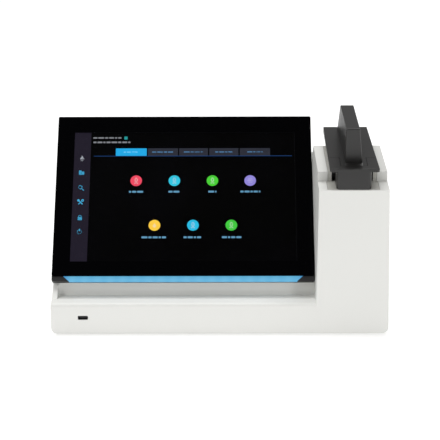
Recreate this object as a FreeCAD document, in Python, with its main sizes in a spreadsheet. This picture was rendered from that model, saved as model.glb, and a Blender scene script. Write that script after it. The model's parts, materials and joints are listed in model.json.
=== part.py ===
import FreeCAD, Part
import math
import os
import Sketcher

# A bench spectrophotometer that reads drops of one or two microlitres: a low white housing with a tilted
# touch screen on the left, and on the right a tower whose hinged arm closes over the measuring pedestal.
# Millimetres. +X to the right seen from the front, +Y to the back, +Z up. The origin is on the table, under
# the middle of the whole.

Vector = FreeCAD.Vector
doc = FreeCAD.newDocument("spectrophotometer")
sheet = doc.addObject("Spreadsheet::Sheet", "dims")


class Size:
    """A length or an angle: its number, and the expression on the sheet that gives it."""

    def __init__(self, text, value):
        self.text = text
        self.value = value

    def __add__(self, other):
        return Size("(%s + %s)" % (self.text, words(other)), self.value + number(other))

    def __radd__(self, other):
        return Size("(%s + %s)" % (words(other), self.text), number(other) + self.value)

    def __sub__(self, other):
        return Size("(%s - %s)" % (self.text, words(other)), self.value - number(other))

    def __rsub__(self, other):
        return Size("(%s - %s)" % (words(other), self.text), number(other) - self.value)

    def __mul__(self, other):
        return Size("(%s * %s)" % (self.text, words(other)), self.value * number(other))

    def __rmul__(self, other):
        return self * other

    def __truediv__(self, other):
        return Size("(%s / %s)" % (self.text, words(other)), self.value / number(other))

    def __neg__(self):
        return Size("(0 - %s)" % self.text, -self.value)


def number(size):
    return size.value if isinstance(size, Size) else float(size)


def words(size):
    return size.text if isinstance(size, Size) else "%.6g" % size


def sine(angle):
    return Size("sin(%s)" % angle.text, math.sin(math.radians(angle.value)))


def cosine(angle):
    return Size("cos(%s)" % angle.text, math.cos(math.radians(angle.value)))


def slope_of(angle):
    return Size("tan(%s)" % angle.text, math.tan(math.radians(angle.value)))


class Sizes:
    """The driving dimensions, one row of the sheet each."""

    def __init__(self):
        self.rows = 0

    def add(self, heading, given):
        self.rows += 1
        sheet.set("A%d" % self.rows, heading)
        for name, value in given.items():
            self.rows += 1
            cell = "B%d" % self.rows
            sheet.set("A%d" % self.rows, name)
            sheet.set(cell, "%g" % value)
            sheet.setAlias(cell, name)
            setattr(self, name, Size("dims." + name, value))


d = Sizes()
WHOLE = {
    "housing_width": 320,
    "housing_depth": 205,
    "foot_height": 2,
    "wall": 2.6,
    "side_draft": 1.9,
    "edge_round": 2,
    "recess_corner": 4,
    "corner_round": 6,
    "case_gap": 0.3,
    "fit_gap": 0.05,
}
d.add("whole instrument", WHOLE)
STRIP = {
    "strip_top": 33.1,
    "lip_depth": 11,
    "lip_round": 3,
    "recess_back": 26.5,
    "recess_floor": 30,
    "cheek": 6,
    "deck_back": 118,
    "ridge": 16,
    "ridge_round": 8,
    "base_rear": 66,
}
d.add("front strip and screen deck", STRIP)
TOWER = {
    "tower_width": 69.1,
    "tower_top": 148.3,
    "step_back": 22,
    "rail_top": 157.8,
    "rail_end": 92,
    "rail_drop": 50,
    "shoulder": 135,
    "tower_rear": 80,
}
d.add("tower", TOWER)
SCREEN = {
    "lean": 44.4,
    "glass_width": 249.8,
    "glass_height": 167,
    "glass_thick": 1.1,
    "rim_thick": 6,
    "screen_gap": 0.6,
    "screen_back": 80.42,
    "screen_up": 111.94,
    "screen_corner": 1.5,
    "back_thick": 1.6,
    "panel_width": 229,
    "panel_height": 149,
    "panel_thick": 2.9,
    "panel_across": -0.45,
    "panel_rise": -1.1,
    "chin": 5,
    "bar_half": 108.5,
    "bar_flare": 5.5,
    "bar_deep": 1.8,
    "bar_margin": 0.5,
    "led_board": 1,
    "bracket_width": 100,
    "bracket_height": 70,
    "bracket_screw": 10,
    "ribbon_width": 20,
    "ribbon_thick": 0.4,
    "deck_gap": 3.7,
}
d.add("screen", SCREEN)
ARM = {
    "arm_from_side": 37.4,
    "plate_overhang": 3.5,
    "plate_top": 169.9,
    "plate_thick": 3,
    "plate_front": 44.9,
    "plate_rear": 42.4,
    "arm_back": 112.5,
    "tongue_gap": 0.35,
    "plate_corner": 2.5,
    "plate_round": 0.8,
    "seam_back": 26,
    "seam_gap": 0.35,
    "tongue_front": 5.5,
    "tongue_half": 12,
    "head_half": 15.9,
    "head_back": 34,
    "head_lift": 0.7,
    "head_round": 4,
    "skin": 1.8,
    "flank_half": 18,
    "flank_top": 158.8,
    "flank_bottom": 153,
    "lug_bottom": 144.5,
    "lug_run": 84,
    "lug_front": 90,
    "lug_back": 104,
    "tail_bottom": 158,
    "fin_base": 15.8,
    "fin_crest": 12.4,
    "fin_shift": 2.2,
    "fin_top": 205,
    "fin_fall": 1,
    "fin_front": 5.6,
    "fin_foot": 9.4,
    "fin_toe": 3.2,
    "fin_toe_rise": 1.3,
    "fin_back": 76,
    "fin_heel": 107.5,
    "fin_round": 1.2,
}
d.add("arm", ARM)
HINGE = {
    "hinge_back": 98,
    "hinge_up": 152,
    "pin_radius": 3,
    "knuckle": 7,
    "knuckle_half": 9.5,
    "lug_gap": 0.5,
    "lug_thick": 5,
    "frame_low": 160,
    "frame_thick": 4,
    "frame_half": 13,
    "frame_front": 4,
    "boss_radius": 3.5,
    "under_thick": 1.5,
}
d.add("arm frame and hinge", HINGE)
MEASURING_DECK = {
    "pad_half": 23.6,
    "pad_front": 1.2,
    "pad_thick": 3,
    "liner_outer": 22.4,
    "liner_inner": 19,
    "liner_floor": 138,
    "liner_thick": 2,
    "liner_back": 112,
    "pedestal_back": 16,
    "pedestal_radius": 4,
    "pedestal_rise": 1.5,
    "pedestal_flange": 5.6,
    "ring_radius": 9,
    "ring_thick": 0.9,
    "path_length": 1,
    "head_bore": 11,
    "fibre_radius": 1,
}
d.add("measuring deck", MEASURING_DECK)
LIFT = {
    "plunger_back": 50,
    "plunger_radius": 4,
    "plunger_gap": 0.3,
    "plunger_low": 139,
    "screw_radius": 1.5,
    "screw_top": 148,
    "guide_wall": 3,
    "guide_rise": 8,
    "motor_width": 20,
    "motor_height": 20,
    "motor_bore": 7,
}
d.add("lift drive under the arm", LIFT)
INSIDE = {
    "chassis_half": 24,
    "chassis_front": 24,
    "chassis_back": 104,
    "sheet_thick": 2,
    "lamp_front": 60,
    "lamp_back": 100,
    "lamp_low": 64,
    "lamp_high": 100,
    "optics_gap": 14.6,
    "optics_width": 78,
    "optics_front": 30.5,
    "optics_back": 86.5,
    "optics_height": 30,
    "optics_wall": 3,
    "board_from_side": 20,
    "board_wide": 140,
    "board_rear_gap": 3.9,
    "board_deep": 109,
    "board_up": 18.4,
    "board_thick": 1.6,
    "post_radius": 4,
    "post_bore": 1.3,
    "standoff_radius": 3,
    "standoff_bore": 1.2,
    "standoff_inset": 6,
    "lens_radius": 6,
    "lens_deep": 8,
    "flange": 10,
    "foot_radius": 8,
}
d.add("inside", INSIDE)
PORTS = {
    "port_from_side": 31,
    "port_up": 18.85,
    "port_width": 9.6,
    "port_height": 4.3,
    "port_deep": 7.5,
    "panel_from_side": 20,
    "panel_wide": 216,
    "panel_low": 10,
    "panel_high": 64,
    "panel_lap": 5,
    "panel_sheet": 1.5,
    "jack_inset": 22,
    "jack_up": 40,
    "jack_face": 7,
    "jack_barrel": 5.5,
    "jack_nut": 7.5,
    "jack_bore": 3.2,
    "jack_pin": 1,
    "jack_deep": 9,
    "jack_proud": 1.2,
    "switch_pitch": 30,
    "switch_up": 40,
    "switch_half": 6.3,
    "switch_half_high": 9.4,
    "bezel_half": 7.5,
    "bezel_half_high": 10.8,
    "bezel_thick": 1,
    "switch_deep": 14,
    "rocker_room": 5.2,
    "rocker_room_high": 8.7,
    "rocker_tilt": 8,
    "rocker_half": 4.9,
    "rocker_reach": 7.4,
    "rocker_middle": 4.6,
    "rocker_pin": 1.2,
    "socket_deep": 14,
    "socket_proud": 1.2,
    "usb_inset": 90,
    "usb_half": 7,
    "usb_high": 15.6,
    "usb_room": 6.2,
    "usb_room_high": 5.2,
    "usb_tongue": 5.2,
    "usb_tongue_thick": 1.8,
    "net_inset": 120,
    "net_half": 8,
    "net_high": 13.6,
    "net_room": 5.9,
    "net_contacts": 8,
    "fan_inset": 32,
    "fan_up": 36,
    "fan_size": 40,
    "fan_deep": 10,
    "fan_bore": 19,
    "fan_hub": 10,
    "fan_shaft": 1.5,
    "blade_count": 7,
    "slot_count": 7,
}
d.add("ports and back panel", PORTS)
SCREWS = {
    "thread_radius": 1.25,
    "pan_radius": 2.2,
    "pan_high": 1.6,
    "base_head": 2.4,
    "base_head_high": 0.9,
    "base_shank": 10,
    "screen_head": 3.6,
    "screen_head_high": 2.2,
    "screen_thread": 2,
    "hinge_shank": 9,
    "board_head": 2.4,
    "board_head_high": 1.4,
    "board_thread": 1.15,
    "board_shank": 8,
    "fan_head": 2.8,
    "fan_head_high": 1.3,
    "fan_thread": 1.6,
    "fan_shank": 8,
    "panel_head": 1.9,
    "panel_head_high": 1.3,
    "panel_thread": 1.05,
    "panel_shank": 3,
}
d.add("screws", SCREWS)
doc.recompute()

# Places that several pieces share
front = (d.plate_overhang - d.housing_depth) / 2
back = front + d.housing_depth
half = d.housing_width / 2
floor = d.foot_height
inside_floor = floor + d.wall
arm = half - d.arm_from_side
tower_left = half - d.tower_width
hinge_y = front + d.hinge_back
hinge_z = d.hinge_up
rail_slope = slope_of(d.rail_drop)
deck_slope = cosine(d.lean) / sine(d.lean)
deck_depth = d.rim_thick + d.deck_gap
deck_start = d.screen_up + (d.recess_back - d.screen_back) * deck_slope - deck_depth / sine(d.lean)
deck_top = deck_start + (d.deck_back - d.recess_back) * deck_slope
plate_low = d.plate_top - d.plate_thick
head_low = d.tower_top + d.head_lift
frame_high = d.frame_low + d.frame_thick
pedestal_y = front + d.pedestal_back
pedestal_top = d.tower_top + d.pedestal_rise
plunger_y = front + d.plunger_back
rear_wall = back - d.wall
panel_face = rear_wall
panel_inner = rear_wall - d.panel_sheet
board_top = d.board_up + d.board_thick
optics_right = arm - d.chassis_half - d.optics_gap
optics_left = optics_right - d.optics_width
board_left = d.board_from_side - half
board_right = board_left + d.board_wide
board_back = panel_inner - d.board_rear_gap
board_front = board_back - d.board_deep
port_across = d.port_from_side - half
panel_left = d.panel_from_side - half
panel_right = panel_left + d.panel_wide
jack_across = panel_left + d.jack_inset
switch_across = jack_across + d.switch_pitch
usb_across = board_left + d.usb_inset
net_across = board_left + d.net_inset
fan_across = panel_right - d.fan_inset
screen_across = tower_left - d.screen_gap - d.glass_width / 2
screen_at = (screen_across, front + d.screen_back, d.screen_up)
screen_turn = 90 - d.lean

nodes = []
checked_cuts = []


def tie(thing, name, size):
    thing.setExpression(name, words(size))


def node(name, thing):
    """Name a finished piece of the instrument."""
    thing.Label = name
    nodes.append(thing)
    return thing


def place(thing, x=0, y=0, z=0):
    tie(thing, "Placement.Base.x", x)
    tie(thing, "Placement.Base.y", y)
    tie(thing, "Placement.Base.z", z)
    return thing


def lay_on_screen(thing):
    """Put a piece drawn on the screen (x across, y up the slope, z outwards) in its place."""
    thing = group(thing)
    thing.Placement = FreeCAD.Placement(Vector(0, 0, 0), FreeCAD.Rotation(Vector(1, 0, 0), 45))
    tie(thing, "Placement.Rotation.Angle", screen_turn)
    return place(thing, *screen_at)


def box(x, y, z):
    """A box from (low, high) pairs."""
    thing = doc.addObject("Part::Box", "block")
    tie(thing, "Length", x[1] - x[0])
    tie(thing, "Width", y[1] - y[0])
    tie(thing, "Height", z[1] - z[0])
    return place(thing, x[0], y[0], z[0])


TURNS = {"x": (Vector(0, 1, 0), 90), "y": (Vector(1, 0, 0), -90), "z": (Vector(0, 0, 1), 0)}


def rod(radius, along, low, high, x=0, y=0, z=0):
    """A cylinder along one axis, from low to high, at the other two places."""
    thing = doc.addObject("Part::Cylinder", "rod")
    axis, angle = TURNS[along]
    thing.Placement = FreeCAD.Placement(Vector(0, 0, 0), FreeCAD.Rotation(axis, angle))
    tie(thing, "Radius", radius)
    tie(thing, "Height", high - low)
    where = {"x": x, "y": y, "z": z}
    where[along] = low
    return place(thing, where["x"], where["y"], where["z"])


def fuse(*things):
    thing = doc.addObject("Part::MultiFuse", "joined")
    thing.Shapes = list(things)
    return thing


def group(*things):
    """Separate solids kept as one piece, as a set of like fasteners is."""
    thing = doc.addObject("Part::Compound", "set")
    thing.Links = list(things)
    return thing


def cut(base, *tools):
    thing = doc.addObject("Part::Cut", "cut")
    thing.Base = base
    thing.Tool = tools[0] if len(tools) == 1 else fuse(*tools)
    checked_cuts.append(thing)
    return thing


def common(first, second):
    thing = doc.addObject("Part::Common", "shared")
    thing.Base = first
    thing.Tool = second
    return thing


VIEWS = {
    "top": (Vector(0, 0, 1), 0),
    "front": (Vector(1, 0, 0), 90),
    "side": (Vector(1, 1, 1), 120),
}


def trace(sketch, points):
    """Closed straight outline whose corners are tied to the sheet."""
    count = len(points)
    for index in range(count):
        here, there = points[index], points[(index + 1) % count]
        line = Part.LineSegment(
            Vector(number(here[0]), number(here[1]), 0), Vector(number(there[0]), number(there[1]), 0)
        )
        sketch.addGeometry(line)
    for index in range(count):
        sketch.addConstraint(Sketcher.Constraint("Coincident", index, 2, (index + 1) % count, 1))
    for index, point in enumerate(points):
        for kind, size in zip(("DistanceX", "DistanceY"), point):
            held = sketch.addConstraint(Sketcher.Constraint(kind, index, 1, number(size)))
            if isinstance(size, Size):
                sketch.setExpression("Constraints[%d]" % held, size.text)
    return sketch


def outline(view, points):
    """Sketch seen from the top (x, y), the front (x, z) or the side (y, z)."""
    sketch = doc.addObject("Sketcher::SketchObject", "outline")
    axis, angle = VIEWS[view]
    sketch.Placement = FreeCAD.Placement(Vector(0, 0, 0), FreeCAD.Rotation(axis, angle))
    return trace(sketch, points)


AWAY = {"top": Vector(0, 0, 1), "front": Vector(0, 1, 0), "side": Vector(1, 0, 0)}
AWAY_PLACE = {"top": "Placement.Base.z", "front": "Placement.Base.y", "side": "Placement.Base.x"}


def prism(view, points, low, high, shrink=None):
    """An outline drawn out along the direction of its view from low to high, drawn in by shrink if given."""
    source = outline(view, points)
    if shrink is not None:
        inner = doc.addObject("Part::Offset2D", "drawn_in")
        inner.Source = source
        inner.Join = 2
        tie(inner, "Value", -shrink)
        source = inner
    thing = doc.addObject("Part::Extrusion", "prism")
    thing.Base = source
    thing.DirMode = "Custom"
    thing.Dir = AWAY[view]
    thing.Solid = True
    tie(thing, "LengthFwd", high - low)
    tie(thing, AWAY_PLACE[view], low)
    return thing


def rounded(thing, radius, picked):
    """Round the edges whose ends and direction the test picks."""
    doc.recompute()
    picked_edges = []
    for index, edge in enumerate(thing.Shape.Edges):
        if len(edge.Vertexes) == 2 and picked(edge.Vertexes[0].Point, edge.Vertexes[1].Point):
            picked_edges.append((index + 1, number(radius), number(radius)))
    if not picked_edges:
        raise RuntimeError("no edge was picked on " + thing.Name)
    result = doc.addObject("Part::Fillet", "rounded")
    result.Base = thing
    result.Edges = picked_edges
    return result


def near(first, second):
    return abs(number(first) - number(second)) < 0.01


def along_x(a, b):
    return abs(a.y - b.y) < 0.01 and abs(a.z - b.z) < 0.01


def along_y(a, b):
    return abs(a.x - b.x) < 0.01 and abs(a.z - b.z) < 0.01


def along_z(a, b):
    return abs(a.x - b.x) < 0.01 and abs(a.y - b.y) < 0.01


def origin_plane(body, role):
    return [plane for plane in body.Origin.OriginFeatures if plane.Role == role][0]


def padded_plate(points, low, high, holes=()):
    """A plate made as a body, from its plan, with round holes (x, y, radius) through it."""
    body = doc.addObject("PartDesign::Body", "body")
    sketch = body.newObject("Sketcher::SketchObject", "plan")
    sketch.AttachmentSupport = [(origin_plane(body, "XY_Plane"), "")]
    sketch.MapMode = "FlatFace"
    tie(sketch, "AttachmentOffset.Base.z", low)
    trace(sketch, points)
    pad = body.newObject("PartDesign::Pad", "plate")
    pad.Profile = sketch
    tie(pad, "Length", high - low)
    if holes:
        doc.recompute()
        drill = body.newObject("Sketcher::SketchObject", "holes")
        drill.AttachmentSupport = [(origin_plane(body, "XY_Plane"), "")]
        drill.MapMode = "FlatFace"
        tie(drill, "AttachmentOffset.Base.z", high)
        for index, (x, y, radius) in enumerate(holes):
            circle = Part.Circle(Vector(number(x), number(y), 0), Vector(0, 0, 1), number(radius))
            drill.addGeometry(circle)
            for kind, size in (("DistanceX", x), ("DistanceY", y)):
                held = drill.addConstraint(Sketcher.Constraint(kind, index, 3, number(size)))
                drill.setExpression("Constraints[%d]" % held, words(size))
            held = drill.addConstraint(Sketcher.Constraint("Radius", index, number(radius)))
            drill.setExpression("Constraints[%d]" % held, words(radius))
        pocket = body.newObject("PartDesign::Pocket", "drilled")
        pocket.Profile = drill
        tie(pocket, "Length", high - low)
    return body


def turned(profile, x=0, y=0, z=0):
    """A round piece made as a body: a half section (radius, height) turned about an upright axis."""
    body = doc.addObject("PartDesign::Body", "body")
    sketch = body.newObject("Sketcher::SketchObject", "section")
    sketch.AttachmentSupport = [(origin_plane(body, "XZ_Plane"), "")]
    sketch.MapMode = "FlatFace"
    trace(sketch, profile)
    spin = body.newObject("PartDesign::Revolution", "turned")
    spin.Profile = sketch
    spin.ReferenceAxis = (sketch, ["V_Axis"])
    spin.Angle = 360
    return place(body, x, y, z)


def rectangle(x, y):
    return [(x[0], y[0]), (x[1], y[0]), (x[1], y[1]), (x[0], y[1])]


def screw(head_radius, head, radius, length, x, y, z, up=True):
    """A pan-head screw on an upright axis. z is under the head; up says that the shank points up."""
    if up:
        return fuse(rod(head_radius, "z", z - head, z, x=x, y=y), rod(radius, "z", z, z + length, x=x, y=y))
    return fuse(rod(head_radius, "z", z, z + head, x=x, y=y), rod(radius, "z", z - length, z, x=x, y=y))


def bent_tube(points, radius, bend):
    """Round fibre along straight runs with tangent bends. The points are triples of sizes."""
    knots = [Vector(*[number(size) for size in point]) for point in points]
    edges = []
    start = knots[0]
    for before, corner, after in zip(knots, knots[1:], knots[2:]):
        back_way = (before - corner).normalize()
        on_way = (after - corner).normalize()
        turn = math.pi - back_way.getAngle(on_way)
        reach = number(bend) * math.tan(turn / 2)
        entry = corner + back_way * reach
        leave = corner + on_way * reach
        inward = (back_way + on_way).normalize()
        hub = corner + inward * (number(bend) / math.cos(turn / 2))
        middle = hub - inward * number(bend)
        edges.append(Part.LineSegment(start, entry).toShape())
        edges.append(Part.Arc(entry, middle, leave).toShape())
        start = leave
    edges.append(Part.LineSegment(start, knots[-1]).toShape())
    path = Part.Wire(edges)
    first = edges[0].tangentAt(edges[0].FirstParameter)
    ring = Part.Wire(Part.makeCircle(number(radius), knots[0], first))
    tube = path.makePipeShell([ring], True, False)
    thing = doc.addObject("Part::Feature", "tube")
    thing.Shape = tube if tube.ShapeType == "Solid" else Part.Solid(tube)
    return thing


# Main housing: one white shell over the base and the tower

def base_outline(recessed):
    """Side view of the low part. Recessed, the strip behind the lip falls into the groove."""
    groove = [(front + d.recess_back, d.recess_floor)] if recessed else []
    return (
        [(front, floor), (front, d.strip_top), (front + d.lip_depth, d.strip_top)]
        + groove
        + [
            (front + d.recess_back, deck_start),
            (front + d.deck_back, deck_top),
            (front + d.deck_back + d.ridge, deck_top),
            (back, d.base_rear),
            (back, floor),
        ]
    )


shoulder_y = front + d.rail_end + (d.rail_top - d.shoulder) / rail_slope
tower_outline = [
    (front, floor),
    (front, d.tower_top),
    (front + d.step_back, d.tower_top),
    (front + d.step_back, d.rail_top),
    (front + d.rail_end, d.rail_top),
    (shoulder_y, d.shoulder),
    (back, d.tower_rear),
    (back, floor),
]


def draft_block(shrink):
    """What the leaning side walls leave: a long trapezoid seen from the front."""
    height = d.rail_top + 10
    inset = (height - floor) * slope_of(d.side_draft)
    foot = half - shrink
    return prism(
        "front",
        [(-foot, floor), (foot, floor), (foot - inset, height), (-foot + inset, height)],
        front - 1,
        back + 1,
    )


base_form = prism("side", base_outline(False), -half, tower_left + d.edge_round + 1)
base_form = rounded(
    base_form, d.lip_round, lambda a, b: along_x(a, b) and near(a.y, front) and near(a.z, d.strip_top)
)
base_form = rounded(
    base_form,
    d.ridge_round,
    lambda a, b: along_x(a, b) and a.y > number(front) + 100 and a.z > number(floor) + 20,
)
recess = prism(
    "side",
    [
        (front + d.lip_depth, d.strip_top),
        (front + d.recess_back, d.recess_floor),
        (front + d.recess_back, deck_start + 20),
        (front + d.lip_depth, deck_start + 20),
    ],
    d.cheek - half,
    tower_left + d.edge_round + 2,
)
recess = rounded(
    recess,
    d.recess_corner,
    lambda a, b: along_z(a, b) and near(a.x, d.cheek - half) and near(a.y, front + d.recess_back),
)
base_form = cut(base_form, recess)
tower_form = prism("side", tower_outline, tower_left, half)
tower_form = rounded(
    tower_form,
    d.edge_round / 2,
    lambda a, b: (along_x(a, b) and near(a.y, front) and near(a.z, d.tower_top))
    or (along_z(a, b) and near(a.y, front) and near(a.x, tower_left)),
)
tower_form = rounded(
    tower_form,
    d.ridge_round,
    lambda a, b: along_x(a, b) and a.y > number(shoulder_y) - 1 and a.z > number(floor) + 20,
)
side_block = rounded(
    draft_block(0), d.corner_round, lambda a, b: along_y(a, b) and near(a.z, floor)
)
plan_block = rounded(
    box((-half, half), (front, back), (0, d.rail_top + 20)), d.edge_round, lambda a, b: along_z(a, b)
)
form = common(common(fuse(base_form, tower_form), side_block), plan_block)

base_hollow = prism("side", base_outline(True), -half + d.wall, tower_left + d.wall, d.wall)
tower_hollow = prism("side", tower_outline, tower_left + d.wall, half - d.wall, d.wall)
hollow = common(fuse(base_hollow, tower_hollow), draft_block(d.wall))

post_spots = [
    (-half + 16, front + 12),
    (-30, front + 12),
    (half - 12, front + 12),
    (-half + 16, back - 20),
    (86, back - 20),
    (half - 12, back - 20),
]
posts = fuse(*[rod(d.post_radius, "z", inside_floor, d.rail_top, x=x, y=y) for x, y in post_spots])
post_holes = fuse(*[rod(d.post_bore, "z", floor, floor + 14, x=x, y=y) for x, y in post_spots])

deck_back_face = -deck_depth
deck_inner = deck_back_face - d.wall
bracket_screws = [
    (side * (d.bracket_width / 2 - d.bracket_screw), rise * (d.bracket_height / 2 - d.bracket_screw))
    for side in (-1, 1)
    for rise in (-1, 1)
]
deck_holes = lay_on_screen(
    fuse(
        box((-d.ribbon_width / 2 - 2, d.ribbon_width / 2 + 2), (-3, 3), (deck_inner - 4, -d.rim_thick)),
        *[rod(2.2, "z", deck_inner - 2, -d.rim_thick, x=x, y=y) for x, y in bracket_screws]
    )
)
liner_room = box(
    (arm - d.liner_outer - d.case_gap, arm + d.liner_outer + d.case_gap),
    (front + d.step_back - d.case_gap, front + d.liner_back + d.liner_thick + d.case_gap),
    (d.liner_floor - d.liner_thick - d.case_gap, d.rail_top + 5),
)
pad_room = box(
    (arm - d.pad_half - d.case_gap, arm + d.pad_half + d.case_gap),
    (front + d.pad_front - d.case_gap, front + d.step_back + 0),
    (d.tower_top - d.pad_thick, d.tower_top + 5),
)
port_room = box(
    (port_across - d.port_width / 2, port_across + d.port_width / 2),
    (front - 1, front + d.wall + 1),
    (d.port_up - d.port_height / 2, d.port_up + d.port_height / 2),
)
port_room = rounded(port_room, 1, lambda a, b: along_y(a, b))
panel_room = box(
    (panel_left + d.panel_lap, panel_right - d.panel_lap),
    (back - d.wall - 1, back + 1),
    (d.panel_low + d.panel_lap, d.panel_high - d.panel_lap),
)
bottom_room = box(
    (-half + d.flange, half - d.flange), (front + d.flange, back - d.flange), (floor - 1, inside_floor)
)
panel_screw_spots = [
    (x, z)
    for x in (panel_left + 2.2, panel_right - 2.2)
    for z in (d.panel_low + 2.2, d.panel_high - 2.2)
]
panel_screw_holes = [
    rod(1.1, "y", panel_face - 1, panel_face + 1.8, x=x, z=z) for x, z in panel_screw_spots
]
shell = fuse(cut(form, hollow), common(posts, form))
node(
    "main_housing",
    cut(
        shell,
        post_holes,
        deck_holes,
        liner_room,
        pad_room,
        port_room,
        panel_room,
        bottom_room,
        *panel_screw_holes
    ),
)


# Bottom: base plate, feet and the screws that close the housing

plate_x = (-half + d.flange + d.case_gap, half - d.flange - d.case_gap)
plate_y = (front + d.flange + d.case_gap, back - d.flange - d.case_gap)
base_holes = [(x, y, d.post_bore + 0.3) for x, y in post_spots]
node("base_plate", padded_plate(rectangle(plate_x, plate_y), floor, inside_floor, base_holes))
foot_spots = [
    (side * (half - 34), y) for side in (-1, 1) for y in (front + 30, back - 36)
]
foot_section = [(0, 0), (d.foot_radius - 1, 0), (d.foot_radius, 1), (d.foot_radius, floor), (0, floor)]
node(
    "rubber_feet",
    group(
        *[
            turned(foot_section, x, y)
            for x, y in foot_spots
        ]
    ),
)
base_thread = d.post_bore - d.fit_gap
node(
    "base_screws",
    group(
        *[
            screw(d.base_head, d.base_head_high, base_thread, d.base_shank, x, y, floor)
            for x, y in post_spots
        ]
    ),
)

# Screen: glass, display panel, black frame, back cover and the light bar in its lower rim

glass_x = (-d.glass_width / 2, d.glass_width / 2)
glass_y = (-d.glass_height / 2, d.glass_height / 2)


def screen_slab(across, rise, low, high, corner):
    slab = box(across, rise, (low, high))
    return rounded(slab, corner, lambda a, b: along_z(a, b))


node(
    "display_glass",
    lay_on_screen(screen_slab(glass_x, glass_y, -d.glass_thick, 0, d.screen_corner)),
)
rim_low = -d.rim_thick
back_face = -d.rim_thick + d.back_thick
chin_low = glass_y[0] - d.chin
bar_back = glass_y[0] + d.bar_deep
bar_top = -d.glass_thick - d.bar_margin
bar_wide = d.bar_half + d.bar_flare
body_y = (chin_low, glass_y[1])


def light_bar_form(low, high):
    """Seen from the front, a long bar with slanting ends in the chin below the glass."""
    return prism(
        "top",
        [
            (-d.bar_half, chin_low),
            (d.bar_half, chin_low),
            (bar_wide, glass_y[0]),
            (bar_wide, bar_back),
            (-bar_wide, bar_back),
            (-bar_wide, glass_y[0]),
        ],
        low,
        high,
    )


panel_x = (d.panel_across - d.panel_width / 2, d.panel_across + d.panel_width / 2)
panel_y = (d.panel_rise - d.panel_height / 2, d.panel_rise + d.panel_height / 2)
led_x = (-d.bar_half, d.bar_half)
led_z = (back_face + 0.1, -d.glass_thick - 0.2)
node(
    "display_frame",
    lay_on_screen(
        cut(
            screen_slab(glass_x, body_y, back_face, -d.glass_thick, d.screen_corner),
            box(
                (panel_x[0] - d.case_gap, panel_x[1] + d.case_gap),
                (panel_y[0] - d.case_gap, panel_y[1] + d.case_gap),
                (-d.rim_thick - 1, 1),
            ),
            light_bar_form(back_face - 1, 0),
            box(led_x, (bar_back - 0.1, bar_back + d.led_board), led_z),
        )
    ),
)
ribbon_slot = (-d.ribbon_width / 2 - 2, d.ribbon_width / 2 + 2)
node(
    "display_back_cover",
    lay_on_screen(
        cut(
            screen_slab(glass_x, body_y, rim_low, back_face, d.screen_corner),
            box(ribbon_slot, (-3, 3), (rim_low - 1, 1)),
            *[rod(d.screen_thread + d.fit_gap, "z", rim_low - 1, 0, x=x, y=y) for x, y in bracket_screws]
        )
    ),
)
node(
    "lcd_module",
    lay_on_screen(box(panel_x, panel_y, (-d.glass_thick - d.panel_thick, -d.glass_thick))),
)
node("light_bar", lay_on_screen(light_bar_form(back_face, bar_top)))
node("light_bar_board", lay_on_screen(box(led_x, (bar_back, bar_back + d.led_board), led_z)))
node(
    "display_bracket",
    lay_on_screen(
        cut(
            screen_slab(
                (-d.bracket_width / 2, d.bracket_width / 2),
                (-d.bracket_height / 2, d.bracket_height / 2),
                deck_back_face,
                rim_low,
                5,
            ),
            box(ribbon_slot, (-3, 3), (deck_inner, 1)),
            *[rod(d.screen_thread + 0.2, "z", deck_inner, 0, x=x, y=y) for x, y in bracket_screws]
        )
    ),
)
screen_shank = d.wall + d.deck_gap + d.back_thick - 0.1
node(
    "display_screws",
    lay_on_screen(
        group(
            *[
                screw(d.screen_head, d.screen_head_high, d.screen_thread, screen_shank, x, y, deck_inner)
                for x, y in bracket_screws
            ]
        )
    ),
)
ribbon_y = front + d.screen_back - deck_inner * cosine(d.lean) + 0.8
ribbon_top = d.screen_up + deck_inner * sine(d.lean) - 0.8
ribbon_start_y = front + d.screen_back + (d.glass_thick + d.panel_thick + 0.2) * cosine(d.lean)
ribbon_start_z = d.screen_up - (d.glass_thick + d.panel_thick + 0.2) * sine(d.lean)
node(
    "display_ribbon",
    prism(
        "side",
        [
            (ribbon_start_y, ribbon_start_z),
            (ribbon_y, ribbon_top),
            (ribbon_y, board_top),
            (ribbon_y + d.ribbon_thick, board_top),
            (ribbon_y + d.ribbon_thick, ribbon_top + 0.2),
            (ribbon_start_y + 0.3, ribbon_start_z + 0.3),
        ],
        screen_across - d.ribbon_width / 2,
        screen_across + d.ribbon_width / 2,
    ),
)

# Measuring deck: the grey liner, the lower pedestal with its seal ring, and the fibre under it

channel_y = (front + d.step_back, front + d.liner_back + d.liner_thick)
liner_form = fuse(
    box(
        (arm - d.pad_half, arm + d.pad_half),
        (front + d.pad_front, front + d.step_back),
        (d.tower_top - d.pad_thick, d.tower_top),
    ),
    common(
        box(
            (arm - d.liner_outer, arm + d.liner_outer),
            channel_y,
            (d.liner_floor - d.liner_thick, d.rail_top - d.case_gap),
        ),
        prism("side", tower_outline, arm - d.pad_half, arm + d.pad_half),
    ),
)
liner_hollow = box(
    (arm - d.liner_inner, arm + d.liner_inner),
    (front + d.step_back + d.liner_thick, front + d.liner_back),
    (d.liner_floor, d.rail_top + 5),
)
head_room = box(
    (arm - d.liner_inner, arm + d.liner_inner),
    (front + d.step_back - 0.5, front + d.step_back + d.liner_thick + 1),
    (d.tower_top, d.rail_top + 5),
)
guide_outer = d.plunger_radius + d.fit_gap + d.guide_wall
lamp_fibre_y = hinge_y - d.knuckle - 3
hinge_screw_spots = [(arm + side * 6, hinge_y - 1.5) for side in (-1, 1)]
hinge_hole = d.thread_radius + d.case_gap
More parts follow.
